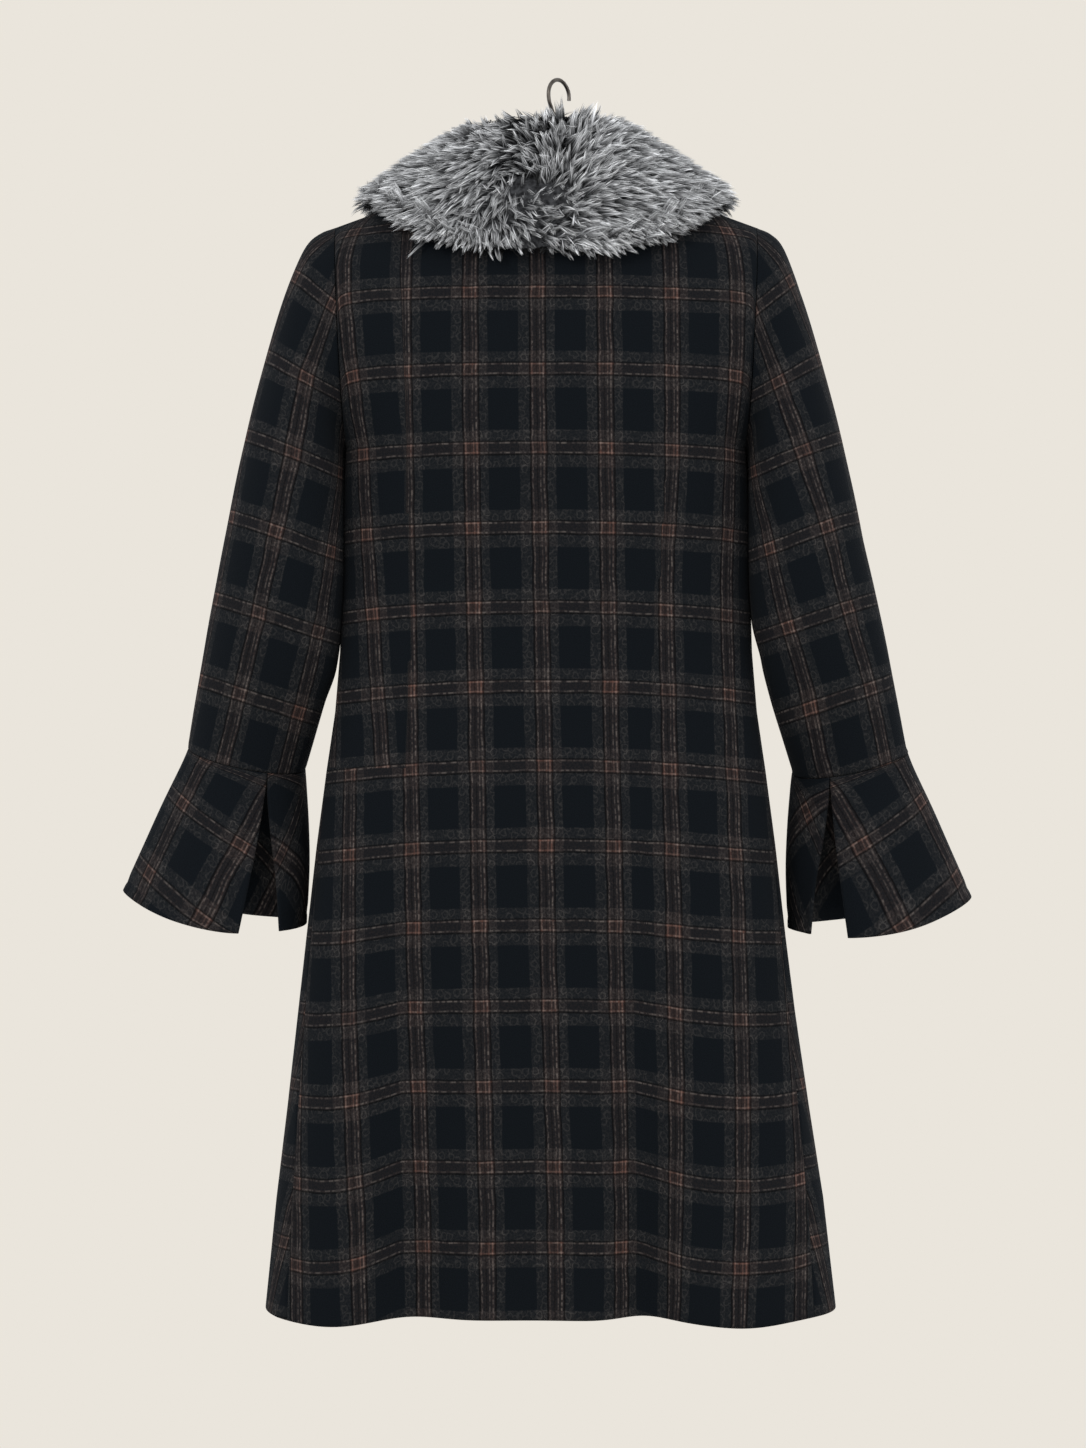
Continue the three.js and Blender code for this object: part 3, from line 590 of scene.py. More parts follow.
def inside_material():
    """The cloth's dark inside, with a fine rib."""
    s = Shader("cloth_inside", 0.42, 0.4)
    uv = s.cloth_place()[0]
    rib = s.node("ShaderNodeTexWave", {"Vector": uv, "Scale": 46.0, "Distortion": 0.6})
    cloud = s.noise(uv, 2.0, 3)
    s.colour(s.ramp(cloud, [(0.3, (0.0085, 0.0095, 0.0115)), (0.7, (0.0130, 0.0140, 0.0165))]))
    s.bump(s.total(rib.outputs["Fac"], cloud), 0.0002, 0.5)
    return s.material


def fur_material():
    """Silver fur. The UV gives each hair's tone, its own mixed with painted light and shade, and the place
    along it.
    """
    s = Shader("silver_fur", 0.55, 0.35)
    _, shade, place = s.cloth_place()
    along = s.ramp(place, [
        (0.00, (0.003, 0.003, 0.003)),
        (0.32, (0.018, 0.018, 0.019)),
        (0.56, (0.180, 0.181, 0.183)),
        (0.80, (0.600, 0.600, 0.600)),
        (1.00, (0.960, 0.960, 0.955)),
    ])
    s.colour(s.tint(along, shade))
    return s.material


def undercoat_material():
    """The dense short fur between the long hairs."""
    stops = [(0.35, (0.012, 0.012, 0.013)), (0.7, (0.070, 0.071, 0.074))]
    return clouded("fur_undercoat", 0.85, 0.15, 260, 4, stops, (0.003, 1.0)).material


def horn_material():
    """Polished dark horn with slow streaks."""
    s = Shader("dark_horn", 0.28, 0.5)
    place = s.object_place()
    streaks = s.node("ShaderNodeTexWave", {"Vector": place, "Scale": 42.0, "Distortion": 9.0, "Detail": 3.0})
    s.colour(s.ramp(streaks.outputs["Fac"], [(0.2, (0.006, 0.0045, 0.004)), (0.85, (0.034, 0.020, 0.012))]))
    s.bump(s.noise(place, 900, 2), 0.0001, 0.4)
    return s.material


def wood_material():
    """Dark stained wood with its grain along the hanger."""
    stops = [(0.32, (0.010, 0.006, 0.004)), (0.68, (0.052, 0.029, 0.016))]
    return clouded("stained_wood", 0.42, 0.4, 3.0, 5, stops, (0.0003, 0.6), (6, 60, 60)).material


def steel_material():
    """Worn steel wire with a brown cast."""
    stops = [(0.3, (0.085, 0.072, 0.060)), (0.7, (0.190, 0.168, 0.145))]
    s = clouded("worn_steel", 0.34, 0.5, 160, 4, stops, (0.0001, 0.4))
    s.surface.inputs["Metallic"].default_value = 1.0
    return s.material


def thread_material():
    """Dark sewing thread."""
    stops = [(0.3, (0.006, 0.007, 0.009)), (0.7, (0.020, 0.021, 0.024))]
    return clouded("sewing_thread", 0.7, 0.3, 1500, 1, stops).material


def floor_material():
    """Plain pale floor."""
    stops = [(0.3, (0.70, 0.665, 0.61)), (0.7, (0.74, 0.705, 0.645))]
    return clouded("floor", 0.9, 0.2, 2.0, 2, stops).material


WOOL = wool_material()
INSIDE = inside_material()
THREAD = thread_material()

# Body panels

# The long dart on each side of the back, as x by z, and the z of its lower end
LEFT_DART = np.array([(-182, 131), (-280, 129), (-400, 126), (-500, 122), (-640, 129)])
LEFT_DART_END = -637
RIGHT_DART = np.array([(-341, -112), (-440, -103), (-560, -95), (-690, -90)])
RIGHT_DART_END = -686
DART_HALF_WIDTH = 1.6
LEAN_START_Z = -180
LEFT_DART_TAKES = (4, 34)  # the cloth that it takes up, at its top and at its lower end
RIGHT_DART_TAKES = 8
CHECK_DRIFT = (8, -5)  # how far to the left the check's middle lies, at the neck and at the hem
SIDE_DROOP = (2, 11)  # how far the check sinks at the sides, at the shoulders and at the waist
SKIRT_DROOP = 4

# x, half width and depth of the lobes in which the check sinks over the skirt's two large folds
LOBES = [(205, 74, 16), (-178, 100, 15)]


def dart_x(dart, z):
    rising = dart[::-1]
    return np.interp(z, rising[:, 0], rising[:, 1])


def run_across(points):
    """How far along its row of cloth each point lies."""
    step = np.hypot(np.diff(points[0], axis=1), np.diff(points[1], axis=1))
    return np.concatenate([np.zeros((points.shape[1], 1)), np.cumsum(step, axis=1)], axis=1)


def run_down(points, v):
    """How far down each point lies: its depth below the armpit, and the cloth's own length above it."""
    rise = np.linalg.norm(np.diff(points, axis=1), axis=0)
    arc = np.concatenate([np.zeros((1, points.shape[2])), np.cumsum(rise, axis=0)])
    armpit = np.argmin(np.abs(v[:, 0] - 1))
    return np.where(v > 1, -ARMPIT_Z - (arc - arc[armpit]), -points[2])


def towards_side(x):
    return np.abs(x / SHOULDER_X) ** 2.2


def back_check(points, v):
    x, _, z = points
    run = run_across(points)
    middle = run.shape[1] // 2
    along = run - run[:, middle:middle + 1]
    drift = mix(*CHECK_DRIFT, smooth(-150, -1100, z))
    lean = mix(*LEFT_DART_TAKES, np.clip((LEAN_START_Z - z) / (LEAN_START_Z - LEFT_DART_END), 0, 1))
    taken_left = np.where((x > dart_x(LEFT_DART, z)) & (z > LEFT_DART_END), lean, 0)
    taken_right = np.where(x < dart_x(RIGHT_DART, z), -RIGHT_DART_TAKES * smooth(-330, -480, z), 0)
    s = (along - drift + taken_left + taken_right) / REPEAT_ACROSS
    side_droop = mix(*SIDE_DROOP, smooth(-200, -620, z)) * towards_side(x)
    lobes = sum(depth * np.maximum(0, 1 - ((x - lobe_x) / half) ** 2) for lobe_x, half, depth in LOBES)
    skirt_droop = lobes + SKIRT_DROOP * np.abs(x / 250)
    t = run_down(points, v) - mix(side_droop, skirt_droop, smooth(-640, -1060, z))
    return np.stack([s, (t - FIRST_BAND) / REPEAT_DOWN])


def soft_waves(x, z, scale, seed):
    """Slow irregular waves of about one unit, from a few sines."""
    wave = 0
    for k in range(1, 5):
        wave = wave + np.sin(x / scale * (0.7 + 0.43 * k) + z / scale * (0.31 * k - 0.6) + seed * k) / k
    return wave / 1.6


def dart_groove(dart, end, x, z):
    """A dart's pressed line, from 0 away from it to 1 in its middle."""
    return bell(x, dart_x(dart, z), DART_HALF_WIDTH) * smooth(end - 4, end + 14, z)


def back_relief(points):
    """Pressed darts and slight unevenness of the hanging cloth, outwards in millimetres."""
    x, _, z = points
    left = dart_groove(LEFT_DART, LEFT_DART_END, x, z)
    right = dart_groove(RIGHT_DART, RIGHT_DART_END, x, z) * (1 - smooth(-380, -340, z))
    upper = smooth(-1000, -300, z)
    return -0.9 * left - 0.6 * right + 0.7 * soft_waves(x, z * 0.6, 46, 1.3) * upper


def panel_rows(lower, upper, extra=()):
    """Rows of a body panel: even from the hem to the armpit, and then closest at the armpit and shoulder."""
    below = np.sort(np.concatenate([np.linspace(0, 1, lower)[:-1], extra]))
    above = 1 + (1 - np.cos(np.linspace(0, np.pi, upper))) / 2
    return np.concatenate([below, above])


# Two rows of the back stand close together at the lower end of the left dart, where the check jumps
DART_END_ROW = (LEFT_DART_END - HEM_Z) / (ARMPIT_Z - HEM_Z)
DART_END_GAP = 0.00012
BACK_ROWS = panel_rows(190, 56, [DART_END_ROW - DART_END_GAP, DART_END_ROW + DART_END_GAP])
BACK_COLUMNS = np.linspace(-1, 1, 137)
FRONT_ROWS = panel_rows(130, 44)
EDGE_COLUMNS = 11  # from the front edge to the centre front
FRONT_COLUMNS = np.concatenate([np.linspace(-1, 0, EDGE_COLUMNS + 1)[:-1], np.linspace(0, 1, 62)])


def shoulder_normals(points, normals):
    """Stands the last row upright where the shoulder seam is, as the solid does."""
    at_seam = np.abs(points[0, -1]) > NECK_HALF_WIDTH - 1
    normals[1, -1] = np.where(at_seam, 0, normals[1, -1])
    normals[:, -1] /= np.linalg.norm(normals[:, -1], axis=0)
    return normals


def panel_grid(rows, columns):
    u, v = grid(rows, columns)
    return np.where(v > 1, u, u * SEAM_SHARE), v


def back_piece():
    u, v = panel_grid(BACK_ROWS, BACK_COLUMNS)
    base = back_surface(u, v)
    outwards = np.stack([base[0] * 0.3, np.abs(base[1]) + 40, base[2] * 0])
    normals = shoulder_normals(base, grid_normals(base, outwards))
    check = back_check(base, v)
    base[1, -1] += SEAM_GAP / 2
    fade = smooth(0, 0.04, 1 - np.abs(u)) * smooth(2, 1.9, v)
    return wall("back_cloth", base + normals * back_relief(base) * fade, normals, check, [WOOL, INSIDE])


def front_check(side, points, v):
    x, _, z = points
    run = run_across(points)
    along = side * (run - run[:, EDGE_COLUMNS:EDGE_COLUMNS + 1])
    droop = SIDE_DROOP[1] * towards_side(x) * smooth(-200, -620, z) * (1 - smooth(-640, -1060, z))
    return np.stack([along / REPEAT_ACROSS, (run_down(points, v) - droop - FIRST_BAND) / REPEAT_DOWN])


def front_piece(word, side):
    u, v = panel_grid(FRONT_ROWS, FRONT_COLUMNS)
    base = front_surface(side, u, v)
    above = [base[0] * 0.3, -np.abs(base[1]) - 40, base[2] * 0]
    below = [base[0], base[1] * 2, base[2] * 0]
    normals = shoulder_normals(base, grid_normals(base, np.where(v > 1, above, below)))
    check = front_check(side, base, v)
    base[1, -1] -= SEAM_GAP / 2
    fade = smooth(0, 0.04, 1 - np.abs(u)) * smooth(2, 1.9, v) * smooth(-0.05, 0.3, u)
    x, _, z = base
    topstitch = bell(u, -0.78, 0.10) * (u < -0.4)
    uneven = 0.7 * soft_waves(x, z * 0.6, 46, 2.1 + side) * smooth(-1000, -300, z)
    base = base + normals * (uneven * fade - 0.5 * topstitch * smooth(2, 1.95, v))
    return wall(f"front_cloth_{word}", base, normals, check, [WOOL, INSIDE])


back = back_piece()
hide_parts("back")
fronts = {word: front_piece(word, side) for word, side in SIDES.items()}

# Sleeves and cuffs

SLEEVE_RINGS = 130
SLEEVE_COLUMNS = 90
SLEEVE_REPEAT_ACROSS = 62.0
SLEEVE_REPEAT_DOWN = 75.0
SLEEVE_BAND_TOP = 181.3  # the depth of a band's middle on the sleeve's outside
BAND_SLOPE = (72, 36.6)  # how much lower a band lies on the sleeve's inside, at its head and below

# The head's section as half an ellipse round the sleeve's middle line, and its mean radius
HEAD_MIDDLE_Y = 8
HEAD_DEPTH = 66
HEAD_HALF_WIDTH = 52
HEAD_RADIUS = 56

# How far the sleeve swells to lie on the body, and where that ends
CONTACT = 4.2
CONTACT_HALF_ANGLE = 42
CONTACT_END = {1: -545, -1: -500}

# The lengthwise band that runs down the back of the sleeve, as z by x
SLEEVE_BAND = np.array([(-136, 168), (-209, 193), (-278, 216), (-366, 231.4), (-427, 245.1), (-502, 261.6),
                        (-572, 280.8), (-660, 306)])

# How far further out that band lies on the right sleeve, by z
RIGHT_BAND_SHIFT = np.array([(-225, -11), (-274, -9), (-339, 2), (-413, 11), (-487, 15), (-562, 20),
                             (-627, 17)])


def sleeve_check(side, angle, points):
    x, y, z = points
    band_x = np.interp(z, SLEEVE_BAND[::-1, 0], SLEEVE_BAND[::-1, 1])
    if side < 0:
        band_x = band_x + np.interp(z, RIGHT_BAND_SHIFT[::-1, 0], RIGHT_BAND_SHIFT[::-1, 1])

    # Below the head the cloth is measured along each ring, from its middle at the back
    run = run_across(points)
    middle = x.shape[1] // 2
    arc = run[:, middle:middle + 1] - run
    across = arc + np.abs(x[:, middle:middle + 1]) - band_x
    inward = (1 - np.cos(np.radians(angle))) / 2

    # On the head the threads run straight on upwards, round the sleeve's own middle line
    axis_x = np.interp(z, SLEEVE_BAND[::-1, 0], SLEEVE_BAND[::-1, 1])
    turn = np.degrees(np.arctan2((y - HEAD_MIDDLE_Y) / HEAD_DEPTH, (np.abs(x) - axis_x) / HEAD_HALF_WIDTH))
    turn = np.where((angle > 90) & (turn < 0), turn + 360, turn)
    head_across = HEAD_RADIUS * np.radians(90 - turn) + axis_x - band_x
    head_inward = np.clip((axis_x + HEAD_HALF_WIDTH - np.abs(x)) / (2 * HEAD_HALF_WIDTH), 0, 1)

    head = smooth(-430, -330, z)
    inward = mix(inward, head_inward, head)
    t = -z - mix(*BAND_SLOPE, smooth(-170, -400, z)) * inward
    s = side * mix(across, head_across, head) / SLEEVE_REPEAT_ACROSS
    return np.stack([s, (t - SLEEVE_BAND_TOP) / SLEEVE_REPEAT_DOWN])


def sleeve_relief(side, angle, v, points):
    """Slight creases round the elbow and under the sleeve head, outwards in millimetres."""
    c = np.cos(np.radians(angle))
    z = points[2]
    elbow = bell(v, 0.62, 0.13) * np.sin(v * 62 + 3 * c + side) * (0.55 + 0.45 * -c)
    drape = 0.8 * soft_waves(points[1], z * 0.5, 30, 4 + side)
    end = CONTACT_END[side]
    contact = CONTACT * smooth(-316, -338, z) * smooth(end - 40, end, z)
    contact = contact * bell(angle, 180, CONTACT_HALF_ANGLE)
    fade = smooth(0, 0.03, v) * smooth(1, 0.985, v)
    return (elbow + drape) * fade * (1 - np.minimum(contact, 1)) + contact


def sleeve_piece(word, side):
    u, v = grid(np.linspace(0, 1, SLEEVE_RINGS), np.linspace(0, 1, SLEEVE_COLUMNS + 1))
    angle = -90 + 360 * u  # the joining line runs down the front, and the middle column down the back
    base = ring_point(curve_row(SLEEVE_ROWS, v), side, angle, v)
    base[0] += side * SEAM_GAP
    centre = base[:, :, :-1].mean(axis=2, keepdims=True)
    normals = grid_normals(base, base - centre)
    join = normals[:, :, 0] + normals[:, :, -1]
    join /= np.linalg.norm(join, axis=0)
    normals[:, :, 0] = join
    normals[:, :, -1] = join
    check = sleeve_check(side, angle, base)
    base = base + normals * sleeve_relief(side, angle, v, base)
    return wall(f"sleeve_cloth_{word}", base, normals, check, [WOOL, INSIDE])


CUFF_RINGS = 48
CUFF_COLUMNS = 150

# The cuff's flat cut is a ring of cloth: its half turn for a half turn round the arm, its radii and its grain
CONE_RATE = 0.25
CONE_START = 208
CONE_WIDTH = 140
GRAIN_TURN = math.radians(20)

# Bands on the left (1) and the right cuff's flat cut: the first across and the repeat, then those down it
CUFF_BANDS = {1: (-37.1, 72.6, 265, 57), -1: (-103.9, 80, 265, 62)}


def cuff_check(side, angle, v):
    radius = CONE_START + CONE_WIDTH * v
    turn = CONE_RATE * (np.pi / 2 - np.radians(angle))
    x = radius * np.sin(turn)
    y = radius * np.cos(turn)
    s = x * math.cos(GRAIN_TURN) - y * math.sin(GRAIN_TURN)
    t = x * math.sin(GRAIN_TURN) + y * math.cos(GRAIN_TURN)
    first_across, repeat_across, first_down, repeat_down = CUFF_BANDS[side]
    return np.stack([side * (s - first_across) / repeat_across, (t - first_down) / repeat_down])


def cuff_piece(word, side):
    u, v = grid(np.linspace(0, 1, CUFF_RINGS), np.linspace(0, 1, CUFF_COLUMNS + 1))
    ring = curve_row(CUFF_ROWS, v)
    turned = ring[10] if side < 0 else 0
    angle = mix(ring[8] + turned, ring[9] + turned - 360, u)
    base = ring_point(ring, side, angle, 1)
    base[2] -= SEAM_GAP
    centre = base.mean(axis=2, keepdims=True)
    normals = grid_normals(base, base - centre)
    check = cuff_check(side, angle, v)
    ripple = 1.6 * np.sin(np.radians(angle) * 5 + side) * v
    hem_roll = -0.7 * bell(v, 0.93, 0.02)
    fade = smooth(0, 0.05, v) * smooth(0, 0.02, u) * smooth(1, 0.98, u)
    base = base + normals * (ripple + hem_roll) * fade
    return wall(f"cuff_cloth_{word}", base, normals, check, [WOOL, WOOL])


sleeves = {word: sleeve_piece(word, side) for word, side in SIDES.items()}
cuffs = {word: cuff_piece(word, side) for word, side in SIDES.items()}
for word in SIDES:
    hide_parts(f"front_{word}")
    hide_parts(f"sleeve_{word}")
    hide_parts(f"cuff_{word}")

# Collar: an undercoat from the solid's own form, and long hairs in locks

FUR_SEED = 11
FUR_PIECES = 4
UNDERCOAT_INSET = 11.0
UNDERCOAT_VOXEL = 5.0

# Locks, with their lengths in millimetres
LOCKS_TRIED = 24000
LOCK_COUNT = 10300
LOCK_LENGTH = (26, 40)
LOCK_LIFT = (0.35, 0.75)  # how steeply a lock rises, against its run along the collar
SHORTEST_SHARE = 0.52  # a lock that would have to be cut shorter than this share isn't grown
TIP_REACH = (-7, 3)  # the tips end between these distances from the collar's solid, outwards
TIP_SHIFT = (-10, 12)  # how far a tip is moved at most to end there
ROOT_DEPTH = 3
MIDDLE_REACH = 4  # how far outside the collar's solid a lock's middle may lie
CLOTH_SEARCH = 30
ROOT_CLEARANCE = 22  # how far from the cloth, outwards, a lock starts at least
CLOTH_CLEARANCE = 3
WHORL = Vector((COAT_X + 18, 84, -107)) * MM
CURL_REACH = 48
SWIRL_REACH = 60
SHADOW_REACH = 44
NECK_REACH = 34

# Hairs of a lock: their half widths and lengths, and how far they spread at the root, the bend and the tip
HAIRS_IN_LOCK = 11
HAIR_HALF_WIDTH = (0.36, 0.68)
HAIR_LENGTH = (0.78, 1.06)
ROOT_SPREAD = 2.0
BEND_SPREAD = 1.4
TIP_SPREAD = 0.4

# share of the hair, and the blade's width there
BLADE = [(0.0, 0.9), (0.36, 1.0), (0.70, 0.62), (1.0, 0.0)]
BLADE_FACES = [(0, 1, 3, 2), (2, 3, 5, 4), (4, 5, 6)]
BLADE_POINTS = 7

collar_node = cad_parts["collar"]


def undercoat_piece():
    """The collar's solid, evened out and drawn in along its normals."""
    piece = new_object("collar_undercoat", collar_node.data.copy())
    steps = {
        "REMESH": {"mode": "VOXEL", "voxel_size": UNDERCOAT_VOXEL * MM},
        "SMOOTH": {"factor": 0.6, "iterations": 6},
        "DISPLACE": {"strength": -UNDERCOAT_INSET * MM, "mid_level": 0},
    }
    for kind, settings in steps.items():
        modifier = piece.modifiers.new(kind.lower(), kind)
        for key, value in settings.items():
            setattr(modifier, key, value)
    result = finished_mesh(piece)
    piece.modifiers.clear()
    result.materials.clear()
    result.materials.append(undercoat_material())
    make_smooth(result)
    piece.data = result
    return piece


undercoat = undercoat_piece()
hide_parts("collar")


def search_tree(pieces):
    """A search tree over the pieces' outer faces, in the whole object's frame."""
    points = []
    faces = []
    for piece in pieces:
        start = len(points)
        points += [piece.matrix_world @ vertex.co for vertex in piece.data.vertices]
        outer = [face for face in piece.data.polygons if face.material_index == 0]
        faces += [[start + i for i in face.vertices] for face in outer]
    return BVHTree.FromPolygons(points, faces)


collar_tree = search_tree([collar_node])
body_tree = search_tree([back, *fronts.values(), *sleeves.values()])


def lock_roots(piece, count, random):
    """Points scattered evenly over a piece, with their normals, apart from those close to the cloth."""
    mesh = piece.data
    mesh.calc_loop_triangles()
    corners = np.array([triangle.vertices for triangle in mesh.loop_triangles])
    corner = np.array([vertex.co for vertex in mesh.vertices])[corners]
    normal = np.array([vertex.normal for vertex in mesh.vertices])[corners]
    area = np.linalg.norm(np.cross(corner[:, 1] - corner[:, 0], corner[:, 2] - corner[:, 0]), axis=1)
    chosen = random.choice(len(corner), size=count, p=area / area.sum())
    r, q = random.random(count), random.random(count)
    r, q = np.where(r + q > 1, 1 - r, r), np.where(r + q > 1, 1 - q, q)
    weight = np.stack([1 - r - q, r, q], axis=1)[..., None]
    place = (corner[chosen] * weight).sum(axis=1)
    facing = (normal[chosen] * weight).sum(axis=1)
    facing /= np.linalg.norm(facing, axis=1, keepdims=True)
    open_ = [body_tree.ray_cast(Vector(p), Vector(n), ROOT_CLEARANCE * MM)[0] is None
             for p, n in zip(place, facing)]
    return place[open_], facing[open_]


def unit(vectors):
    return vectors / np.maximum(np.linalg.norm(vectors, axis=-1, keepdims=True), 1e-9)


def along_skin(vectors, normal):
    return vectors - normal * np.sum(vectors * normal, axis=1, keepdims=True)


def fit_to_collar(root, bend, tip, wanted):
    """Brings a lock's tip to the wanted distance from the collar's solid, and says whether it can grow."""
    near, face_normal, _, _ = collar_tree.find_nearest(Vector(tip))
    outwards = np.array(face_normal)
    out = (Vector(tip) - near).dot(face_normal)
    whole = tip - root
    towards = float(np.dot(whole, outwards))
    grown = True
    if out > wanted and towards > 0.25 * np.linalg.norm(whole):
        kept = 1 - (out - wanted) / towards
        grown = kept > SHORTEST_SHARE
        tip[:] = root + whole * kept
        bend[:] = root + (bend - root) * kept
    else:
        tip += outwards * np.clip(wanted - out, TIP_SHIFT[0] * MM, TIP_SHIFT[1] * MM)
    halfway = (Vector(root) + Vector(tip)) / 2
    near, face_normal, _, _ = collar_tree.find_nearest(halfway)
    return grown and (halfway - near).dot(face_normal) < MIDDLE_REACH * MM


def clear_cloth(point):
    """Moves a lock's point out of the cloth or off it, where it lies near the cloth."""
    near, face_normal, _, _ = body_tree.find_nearest(Vector(point), CLOTH_SEARCH * MM)
    if near is None:
        return
    out = (Vector(point) - near).dot(face_normal)
    if out < CLOTH_CLEARANCE * MM:
        point += np.array(face_normal) * (CLOTH_CLEARANCE * MM - out)


def fur_locks(random):
    """Each lock's root, bend, tip, shade and normal; the shade is its random tone with painted shadow round
    the whorl and painted shade towards the collar's sides. The locks turn round the whorl and lie away from
    it.
    """
    root, normal = lock_roots(undercoat, LOCKS_TRIED, random)
    count = len(root)
    away = root - np.array(WHORL)
    reach = np.linalg.norm(away, axis=1, keepdims=True)
    curl = bell(reach, 0, CURL_REACH * MM)
    swirl = np.cross(normal, unit(away)) * bell(reach, 0, SWIRL_REACH * MM) * 1.4
    along = unit(away) * (1 - 0.85 * curl) + swirl + np.array([0, 0, -0.25]) * (1 - curl)
    tangle = 0.24 + 0.60 * curl
    along = unit(unit(along_skin(along, normal)) + random.normal(0, 1, (count, 3)) * tangle)
    along = unit(along_skin(along, normal))
    length = random.uniform(*LOCK_LENGTH, (count, 1)) * MM
    centre = bell(root[:, 0:1], WHORL.x, NECK_REACH * MM)
    on_top = np.clip(normal[:, 2:3], 0, 1) * (1 - centre)
    lift = random.uniform(*LOCK_LIFT, (count, 1)) + 1.1 * on_top
    stand = unit(along + normal * (lift + 0.30))
    lean = unit(along + normal * lift * 0.25 + np.array([0, 0, -0.10]))
    sideways = np.cross(normal, along) * random.normal(0, 3.2, (count, 1)) * MM
    bend = root + stand * length * 0.48 + sideways
    tip = bend + lean * length * 0.56
    at_neck = centre * (normal[:, 2:3] > 0.1)
    wanted = (random.uniform(*TIP_REACH, count) + (6 * on_top - 5 * at_neck)[:, 0]) * MM
    grown = np.ones(count, dtype=bool)
    for i in range(count):
        grown[i] = fit_to_collar(root[i], bend[i], tip[i], wanted[i])
        clear_cloth(bend[i])
        clear_cloth(tip[i])
    darkness = 0.30 * bell(reach[:, 0], 0, SHADOW_REACH * MM)
    shade = np.clip(random.normal(0.97, 0.30, count) * (1 - darkness), 0.08, 1.6)
    # Painted shade: the locks grow darker towards the collar's sides.
    shade *= 1 - 0.11 * smooth(0.03, 0.11, np.abs(root[:, 0] - COAT_X * MM))
    chosen = np.flatnonzero(grown)[:LOCK_COUNT]
    return [part[chosen] for part in (root - normal * ROOT_DEPTH * MM, bend, tip, shade, normal)]


def fur_hairs():
    """Points and UV of the hairs, as thin tapering blades, gathered towards the tip of their lock."""
    random = np.random.default_rng(FUR_SEED)
    root, bend, tip, shade, normal = fur_locks(random)
    locks = len(root)
    hairs = locks * HAIRS_IN_LOCK
    own = np.repeat(np.arange(locks), HAIRS_IN_LOCK)
    spread = random.normal(0, 1, (hairs, 3))
    start = root[own] + spread * ROOT_SPREAD * MM
    middle = bend[own] + spread * BEND_SPREAD * MM + random.normal(0, 0.5, (hairs, 3)) * MM
    length = random.uniform(*HAIR_LENGTH, (hairs, 1))
    stray = spread * TIP_SPREAD * MM + random.normal(0, 0.6, (hairs, 3)) * MM
    end = bend[own] + (tip[own] - bend[own]) * length + stray
    side = unit(np.cross(end - start, random.normal(0, 1, (hairs, 3))))
    half_width = random.uniform(*HAIR_HALF_WIDTH, (hairs, 1)) * MM
    rails = []
    places = []
    for share, wide in BLADE:
        centre = (1 - share) ** 2 * start + 2 * share * (1 - share) * middle + share**2 * end
        offset = side * half_width * wide
        ends = [centre - offset, centre + offset] if wide else [centre]
        rails += ends
        places += [share] * len(ends)
    # Painted light and shade: hairs on top of their lock are lighter, those deep inside it darker.
    on_top = np.sum(spread * normal[own], axis=1)
    tone_and_painted_shade = shade[own] * random.uniform(0.75, 1.2, hairs) * np.clip(0.92 + 0.40 * on_top, 0.25, 1.6)
    uv = np.zeros((hairs, BLADE_POINTS, 2))
    uv[:, :, 0] = tone_and_painted_shade[:, None]
    uv[:, :, 1] = places
    return np.stack(rails, axis=1), uv


def grow_fur():
    points, uv = fur_hairs()
    material = fur_material()
    share = len(points) // FUR_PIECES + 1
    for k in range(FUR_PIECES):
        here = slice(k * share, (k + 1) * share)
        some = points[here].reshape(-1, 3)
        starts = range(0, len(some), BLADE_POINTS)
        faces = [[start + i for i in face] for start in starts for face in BLADE_FACES]
        piece = mesh_object(f"collar_fur_{k + 1}", some, faces, uv[here].reshape(-1, 2), [material])
        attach(piece, "root")


grow_fur()

# Hook, hanger and buttons

WIRE_RADIUS = 1.85
HOOK_RADIUS = 15
HOOK_TURN = math.radians(50)
HOOK_ARC = (-8, 180)  # the bow's angles, in degrees
HOOK_ARC_STEPS = 12

# The wire under the bow, as its distance from the middle in the hook's own plane, and z
HOOK_NECK = [(14, -19.5), (10.6, -26), (7.2, -31.5), (3.6, -39), (1.2, -48), (0, -57)]
HOOK_FOOT = [(COAT_X * 0.6, 0, -66), (COAT_X, 0, -74), (COAT_X, 0, -79.6)]


def hook_piece():
    """The wire hook as one smooth bent rod, along the solid's own line."""
    centre_z = WIRE_RADIUS - HOOK_RADIUS
    line = []
    for step in range(HOOK_ARC_STEPS + 1):
        angle = math.radians(mix(*HOOK_ARC, step / HOOK_ARC_STEPS))
        line.append((-HOOK_RADIUS * math.cos(angle), centre_z + HOOK_RADIUS * math.sin(angle)))
    points = [(h * math.cos(HOOK_TURN), h * math.sin(HOOK_TURN), z) for h, z in line + HOOK_NECK]
    points += HOOK_FOOT
    curve = bpy.data.curves.new("hook_wire", "CURVE")
    curve.dimensions = "3D"
    curve.bevel_depth = WIRE_RADIUS * MM
    curve.bevel_resolution = 6
    curve.resolution_u = 8
    curve.use_fill_caps = True
    spline = curve.splines.new("BEZIER")
    spline.bezier_points.add(len(points) - 1)
    for knot, point in zip(spline.bezier_points, points):
        knot.co = Vector(point) * MM
        knot.handle_left_type = "AUTO"
        knot.handle_right_type = "AUTO"
    drawn = new_object("hook_line", curve)
    mesh = finished_mesh(drawn)
    bpy.data.objects.remove(drawn)
    mesh.materials.clear()
    mesh.materials.append(steel_material())
    return new_object("hook_wire", mesh)


hook = hook_piece()
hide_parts("hook")

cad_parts["hanger"].material_slots[0].material = wood_material()

BUTTON_RADIUS = 14
BUTTON_HEIGHT = 5
BUTTON_SHANK = 0.8
BUTTON_FIRST_Z = -250
BUTTON_PITCH = 112
BUTTON_COUNT = 4
HOLE_RADIUS = 1.3
HOLE_OFFSET = 2.8
AXIS_RADIUS = 0.01  # the turned form's first and last ring, all but on the axis

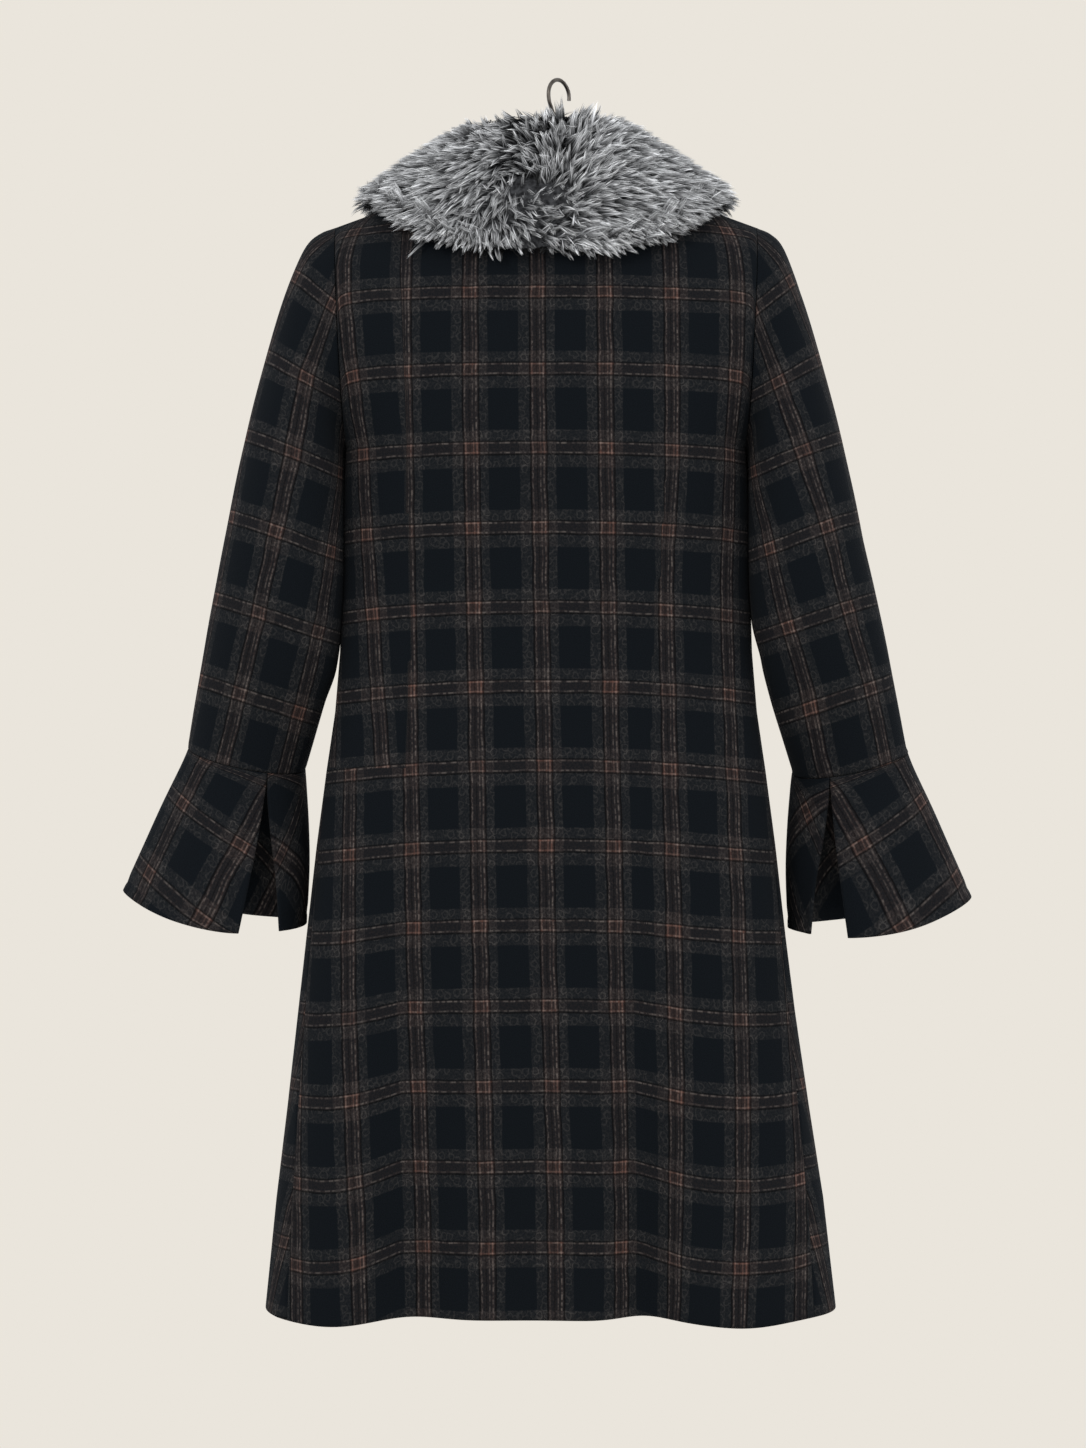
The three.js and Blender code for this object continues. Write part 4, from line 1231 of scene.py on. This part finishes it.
# share of the button's radius, and height, from the back round the rim to the dished face
BUTTON_PROFILE = [
    (0.8, 0), (0.95, 0.7), (1, 1.8), (0.99, 3.4), (0.95, 4.5), (0.88, 5), (0.80, 4.9), (0.70, 4.2),
    (0.60, 3.8),
]
BUTTON_FACE = 3.7

# Sewing thread, in millimetres
STITCH_STEPS = 8
STITCH_SIDES = 8
STITCH_HALF_WIDTH = 0.75
STITCH_HALF_HEIGHT = 0.55
STITCH_RISE = 0.9
STITCH_SINK = 0.5


def ring_faces(rows, segments, start=0):
    """Faces of a form made of rings, from a first point on, with both of its ends."""
    faces = []
    for row in range(rows - 1):
        for k in range(segments):
            a = start + row * segments + k
            b = start + row * segments + (k + 1) % segments
            faces.append((a, b, b + segments, a + segments))
    last = start + (rows - 1) * segments
    faces.append(tuple(range(start, start + segments))[::-1])
    faces.append(tuple(range(last, last + segments)))
    return faces


def circle(segments):
    """The cosine and sine of each step round a circle."""
    steps = [2 * math.pi * k / segments for k in range(segments)]
    return [(math.cos(angle), math.sin(angle)) for angle in steps]


def turned_mesh(profile, segments):
    """A closed turned form from (radius, height) pairs, as points and faces."""
    points = [(radius * c, radius * s, height) for radius, height in profile for c, s in circle(segments)]
    return points, ring_faces(len(profile), segments)


def raw_object(name, points, faces):
    mesh = bpy.data.meshes.new(name)
    mesh.from_pydata([Vector(p) * MM for p in points], [], faces)
    return new_object(name, mesh)


def button_mesh():
    """A four-hole button with a raised rim, cut by four rods."""
    turned = [(share * BUTTON_RADIUS, height) for share, height in BUTTON_PROFILE]
    profile = [(AXIS_RADIUS, 0), *turned, (AXIS_RADIUS, BUTTON_FACE)]
    blank = raw_object("button_blank", *turned_mesh(profile, 48))
    rods = []
    for k in range(4):
        angle = math.pi / 4 + k * math.pi / 2
        points, faces = turned_mesh([(HOLE_RADIUS, -1), (HOLE_RADIUS, BUTTON_HEIGHT + 1)], 16)
        shift = (HOLE_OFFSET * math.cos(angle), HOLE_OFFSET * math.sin(angle))
        rod = raw_object(f"hole_{k}", [(x + shift[0], y + shift[1], z) for x, y, z in points], faces)
        rods.append(rod)
        cut = blank.modifiers.new(f"hole_{k}", "BOOLEAN")
        cut.operation = "DIFFERENCE"
        cut.object = rod
    mesh = finished_mesh(blank)
    for unused in [blank, *rods]:
        bpy.data.objects.remove(unused)
    make_smooth(mesh)
    mesh.set_sharp_from_angle(angle=math.radians(35))
    mesh.materials.clear()
    return mesh


def stitch_mesh():
    """Thread through the four holes, as two short rounded bars beside the middle."""
    points = []
    faces = []
    reach = HOLE_OFFSET * math.cos(math.pi / 4)
    for side in (-1, 1):
        faces += ring_faces(STITCH_STEPS + 1, STITCH_SIDES, len(points))
        for step in range(STITCH_STEPS + 1):
            share = step / STITCH_STEPS
            x = mix(-reach, reach, share)
            z = BUTTON_FACE - STITCH_SINK + STITCH_RISE * math.sin(math.pi * share)
            for c, s in circle(STITCH_SIDES):
                points.append((x, side * reach + STITCH_HALF_WIDTH * c, z + STITCH_HALF_HEIGHT * s))
    return points, faces


def button_seat(z):
    """A point of the right front on the centre line at a height, and the direction that it faces."""
    neck_front_z = NECK_Z - UPPER_FRONT[3]
    place = (z - HEM_Z) / (ARMPIT_Z - HEM_Z)
    if z > ARMPIT_Z:
        place = 1 + (z - ARMPIT_Z) / (neck_front_z - ARMPIT_Z)
    steps_u = np.array([[0.0, 0.001, 0.0]])
    steps_v = np.array([[place, place, place + 0.001]])
    spot = front_surface(-1, steps_u, steps_v)[:, 0]
    facing = Vector(np.cross(spot[:, 1] - spot[:, 0], spot[:, 2] - spot[:, 0])).normalized()
    if facing.y > 0:
        facing.negate()
    return Vector(spot[:, 0]) + Vector((COAT_X, 0, 0)), facing


shared_button = button_mesh()
shared_button.materials.append(horn_material())
for number in range(BUTTON_COUNT):
    seat, facing = button_seat(BUTTON_FIRST_Z - BUTTON_PITCH * number)
    centre = seat + facing * BUTTON_SHANK
    turn = Vector((0, 0, 1)).rotation_difference(facing)
    button = new_object(f"coat_button_{number + 1}", shared_button.copy())
    stitches = raw_object(f"button_thread_{number + 1}", *stitch_mesh())
    stitches.data.materials.append(THREAD)
    for piece in (button, stitches):
        for vertex in piece.data.vertices:
            vertex.co = turn @ vertex.co + centre * MM
        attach(piece, "root")
    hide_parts(f"button_{number + 1}")

# Every piece hung on the root body, and the floor

for piece in (back, *fronts.values(), *sleeves.values(), *cuffs.values()):
    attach(piece, "root")
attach(undercoat, "root")
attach(hook, "root")

corners = [(FLOOR_X[i] / MM, FLOOR_Y[j] / MM, FLOOR_Z / MM) for i, j in ((0, 0), (1, 0), (1, 1), (0, 1))]
floor = raw_object("floor", corners, [(0, 1, 2, 3)])
floor.data.materials.append(floor_material())
